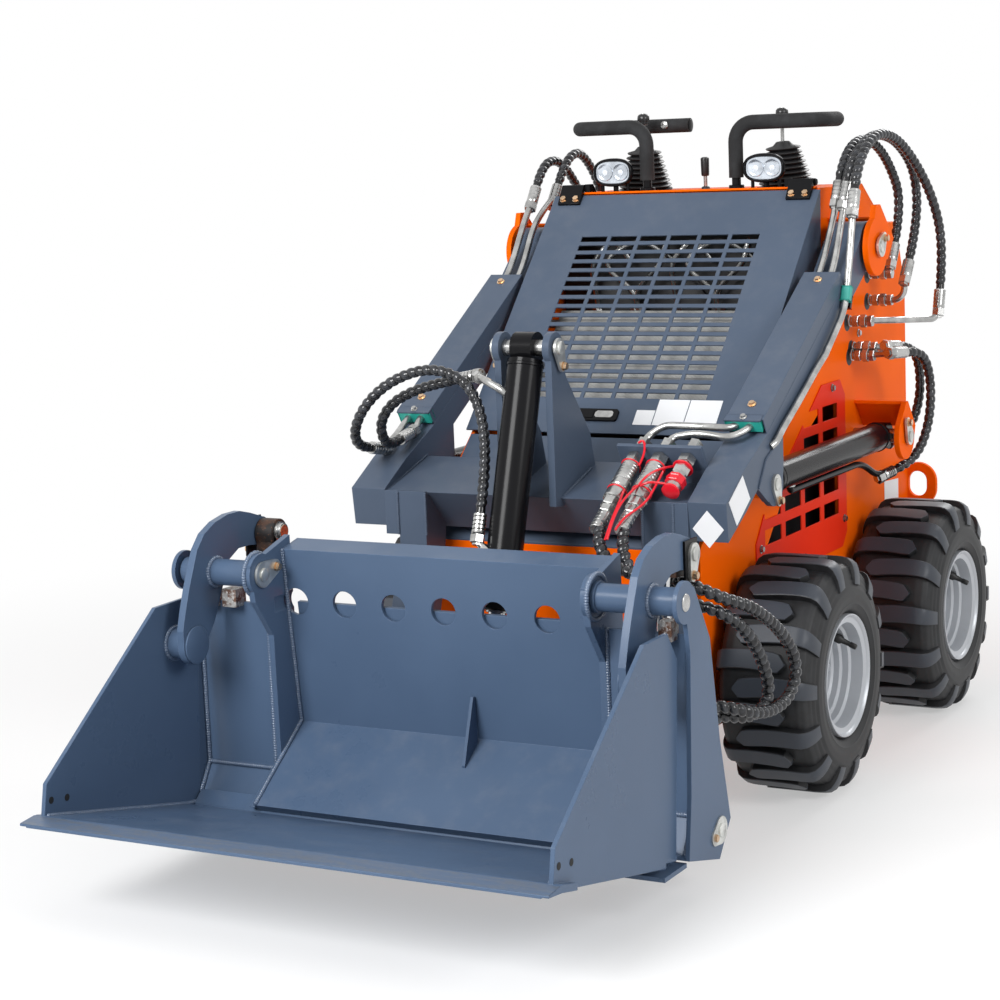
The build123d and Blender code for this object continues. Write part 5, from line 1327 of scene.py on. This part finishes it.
def welds(name, lines, finish, body, slot="grey_paint", **sizes):
    """Beads along lines of points; a line is open, or closed where its ends meet."""
    seams = bpy.data.meshes.new(name + "_seams")
    verts, edges = [], []
    for line in lines:
        edges += [(len(verts) + i, len(verts) + i + 1) for i in range(len(line) - 1)]
        verts += [tuple(p) for p in line]
    seams.from_pydata(verts, edges, [])
    mesh = grown(name + "_seams", seams, lay_weld, finish, **sizes)
    mesh.shade_smooth()
    placed(name, mesh, body)


def hoop(x, centre, radius):
    """A closed ring of points round a bar that lies along X."""
    return [Vector((x, centre[0] + radius * math.cos(a), centre[1] + radius * math.sin(a)))
            for a in (math.tau * i / 28 for i in range(29))]


STOP_PIN = (-0.807, 0.394)
bucket_seams, jaw_seams, arm_seams = [], [], []
for s in both_sides:
    bucket_seams += [
        upright(s * 0.329, (-0.669, 0.548), (-0.636, 0.222), (-0.796, 0.106)),
        upright(s * 0.343, (-0.7035, 0.453), (-0.7035, 0.148), (-0.738, 0.092)),
        upright(s * 0.4925, (-0.7045, 0.43), (-0.7045, 0.148), (-0.7405, 0.091)),
        [(s * 0.346, -0.7045, 0.147), (s * 0.4925, -0.7045, 0.147)],
        hoop(s * 0.3425, JAW_PIVOT, 0.0385)]
    jaw_seams += [
        upright(s * 0.477, (-0.776, 0.089), (-0.802, 0.0925), (-1.10, 0.158), (-1.185, 0.177)),
        hoop(s * 0.4305, JAW_PIVOT, 0.0255), hoop(s * 0.4455, JAW_PIVOT, 0.0255),
        hoop(s * 0.446, STOP_PIN, 0.029), hoop(s * 0.4775, STOP_PIN, 0.029)]
    arm_seams += [
        upright(s * 0.3235, (-0.15, 0.652), (-0.306, 0.604), (-0.236, 0.526)),
        upright(s * 0.3985, (-0.166, 0.614), (-0.131, 0.661), (-0.044, 0.70)),
        upright(s * 0.061, (-0.184, 0.642), (-0.30, 0.606)),
        upright(s * 0.231, (-0.3185, 0.602), (-0.3185, 0.522)),
        upright(s * 0.293, (-0.3185, 0.602), (-0.3185, 0.522))]
# The beads on the bucket and the jaw are coloured lighter than the bucket's paint: a painted highlight for their
# glints.
weld_glint_coat = powder_coat("weld_glint_coat", (0.125, 0.175, 0.265), (0.07, 0.105, 0.17), 0.20, 0.55, 0.35)
welds("bucket_welds", bucket_seams, weld_glint_coat, "bucket", Radius=0.0048, Spacing=0.0046)
welds("jaw_welds", jaw_seams, weld_glint_coat, "jaw", Radius=0.0048, Spacing=0.0046)
welds("arm_welds", arm_seams, slate_coat, "arms")


# ---------------------------------------------------------------- bucket details
# Two worn cast stops under each pivot tube, a stiffening gusset in the bowl, a bush at each
# pivot and a foot under each jaw arm, lightly worn paint along the lip, and dark discs of painted shade for the side
# holes.
stops = bmesh.new()
for s in both_sides:
    brick(stops, (s * 0.4115, -0.7105, 0.465), (0.032, 0.033, 0.034), (0, 1, 0), (0, 0, 1))
    brick(stops, (s * 0.4605, -0.7105, 0.462), (0.0245, 0.03, 0.035), (0, 1, 0), (0, 0, 1))
worn_casting = Finish("worn_casting")
pitting = worn_casting.noise(150.0, 5.0, 0.7)
stain = worn_casting.noise(70.0, 3.0)
casting_color = worn_casting.blend(stain.ramp(0.40, 0.60), (0.50, 0.49, 0.47), (0.17, 0.085, 0.055))
casting_color = worn_casting.blend(pitting.ramp(0.52, 0.64), casting_color, (0.80, 0.78, 0.75))
casting_finish = worn_casting.close(casting_color, pitting * 0.3 + 0.25, worn_casting.bump(pitting, 0.8, 0.002),
                                    Metallic=0.35)
made("pivot_stops", stops, casting_finish, "bucket")
bowl_rib = bmesh.new()
plate(bowl_rib, upright(0.043, (-0.644, 0.30), (-0.65, 0.30), (-0.69, 0.185), (-0.688, 0.18), (-0.64, 0.212)),
      0.006, (1, 0, 0))
made("bowl_gusset", bowl_rib, bucket_coat, "bucket")

bushes, feet = bmesh.new(), bmesh.new()
for s in both_sides:
    turned(bushes, [(0, 0.0265), (0.001, 0.0275), (0.0075, 0.0275), (0.0085, 0.0255)], (s * 0.3425, *JAW_PIVOT),
           (s, 0, 0), 36)
    turned(feet, [(0, 0.033), (0.001, 0.0345), (0.0035, 0.0345), (0.0045, 0.0325)], (s * 0.4265, *STOP_PIN),
           (s, 0, 0), 40)
made("pivot_bushes", bushes, bucket_coat, "bucket")
made("jaw_arm_feet", feet, bucket_coat, "jaw")

lip_wear = Finish("worn_lip")
scrape = lip_wear.noise(30.0, 5.0, 0.6, lip_wear.stretched(0.35, 3.0, 3.0))
chips = lip_wear.noise(95.0, 4.0, 0.6)
bare = scrape.ramp(0.40, 0.60) * chips.ramp(0.30, 0.60)
lip_color = lip_wear.blend(bare, (0.072, 0.11, 0.18), (0.16, 0.19, 0.24))
lip_finish = lip_wear.close(lip_color, chips * 0.2 + 0.32, lip_wear.bump(chips, 0.25, 0.0008), Metallic=bare * 0.7)
edge_strip = bmesh.new()
plate(edge_strip, [(-0.4985, -1.2325, 0.1742), (0.4985, -1.2325, 0.1742), (0.4985, -1.196, 0.1781),
                   (-0.4985, -1.196, 0.1781)], 0.0004, (0, 0.1, 1))
made("lip_wear_strip", edge_strip, lip_finish, "jaw")
# Painted shade: each hole in the jaw's sides is a dark disc laid on both faces of the plate.
lip_hole_shade = bmesh.new()
for s in both_sides:
    for y, z in ((-1.174, 0.2005), (-1.133, 0.1945)):
        for out, way in ((0.4862, s), (0.4778, -s)):
            turned(lip_hole_shade, [(0, 0.0062), (0.0003, 0.0062)], (s * out, y, z), (way, 0, 0), 20)
hole_shade_black = moulded("hole_shade_black", (0.006, 0.006, 0.006), 0.7)
made("jaw_side_hole_shade", lip_hole_shade, hole_shade_black, "jaw")


# ---------------------------------------------------------------- operator's step and dash
# A folding step with a raised tread plate, and a plain dash: two blank round gauges, a
# keyed switch and three rocker switches, over a louvred rear cover with its own handle.
tread_plate = Finish("tread_plate")
cross = (tread_plate.axis("X") * 38.0 + tread_plate.axis("Y") * 38.0).repeat()
other_way = (tread_plate.axis("X") * 38.0 - tread_plate.axis("Y") * 38.0).repeat()
bars_up = (cross.ramp(0.36, 0.44) * (1.0 - cross.ramp(0.56, 0.64)) * other_way.ramp(0.15, 0.25)
           * (1.0 - other_way.ramp(0.75, 0.85)))
plate_rub = tread_plate.noise(20.0, 5.0, 0.6)
step_color = tread_plate.blend(bars_up * plate_rub.ramp(0.35, 0.60), (0.016, 0.016, 0.017),
                               (0.22, 0.22, 0.22))
step_finish = tread_plate.close(step_color, plate_rub * 0.2 + 0.35, tread_plate.bump(bars_up, 0.6, 0.002))
dressed("operator_step", step_finish, edge=0.0015)

DASH_Y, DASH_Z = 0.857, 1.0541
dash, dials = bmesh.new(), bmesh.new()
for x in (-0.10, 0.0):
    turned(dash, [(0, 0.031), (0.006, 0.031), (0.008, 0.028), (0.0065, 0.026)], (x, DASH_Y, DASH_Z), (0, 0, 1), 40)
    turned(dials, [(0, 0.0255), (0.0012, 0.0255)], (x, DASH_Y, 1.0604), (0, 0, 1), 40)
turned(dash, [(0, 0.014), (0.004, 0.014), (0.005, 0.011), (0.01, 0.01), (0.011, 0.006)], (0.08, DASH_Y, DASH_Z),
       (0, 0, 1), 24)
brick(dash, (0.08, DASH_Y, 1.069), (0.003, 0.016, 0.014))
for x in (0.125, 0.155, 0.185):
    brick(dash, (x, DASH_Y, 1.0585), (0.02, 0.034, 0.009))
    brick(dash, (x, 0.855, 1.0635), (0.015, 0.026, 0.006), (0, 1, 0.2))
made("dash_controls", dash, black_paint, "chassis")
made("dash_dials", dials, label_white, "chassis")

LOUVRE_HALF, LOUVRE_COUNT = 0.15, 9
rear = bmesh.new()
for i in range(LOUVRE_COUNT):
    z = 0.50 + 0.02 * i
    plate(rear, [(x, y, z + up) for x, y, up in (
        (-LOUVRE_HALF, 0.9492, 0), (LOUVRE_HALF, 0.9492, 0), (LOUVRE_HALF, 0.956, -0.009),
        (-LOUVRE_HALF, 0.956, -0.009))], 0.0025, (0, 0.35, 1))
made("rear_louvres", rear, orange_coat, "chassis")
PULL_HALF, PULL_Z = 0.06, 0.78
rear_pull = bmesh.new()
swept(rear_pull, rounded([(x, y, PULL_Z) for x, y in (
    (-PULL_HALF, 0.949), (-PULL_HALF, 0.958), (PULL_HALF, 0.958), (PULL_HALF, 0.949))], 5, 0.4), 0.0045)
for x in (-PULL_HALF, PULL_HALF):
    turned(rear_pull, [(0, 0.011), (0.002, 0.011), (0.003, 0.006)], (x, REAR_COVER_Y, PULL_Z), (0, 1, 0), 20)
made("rear_handle", rear_pull, black_paint, "chassis")
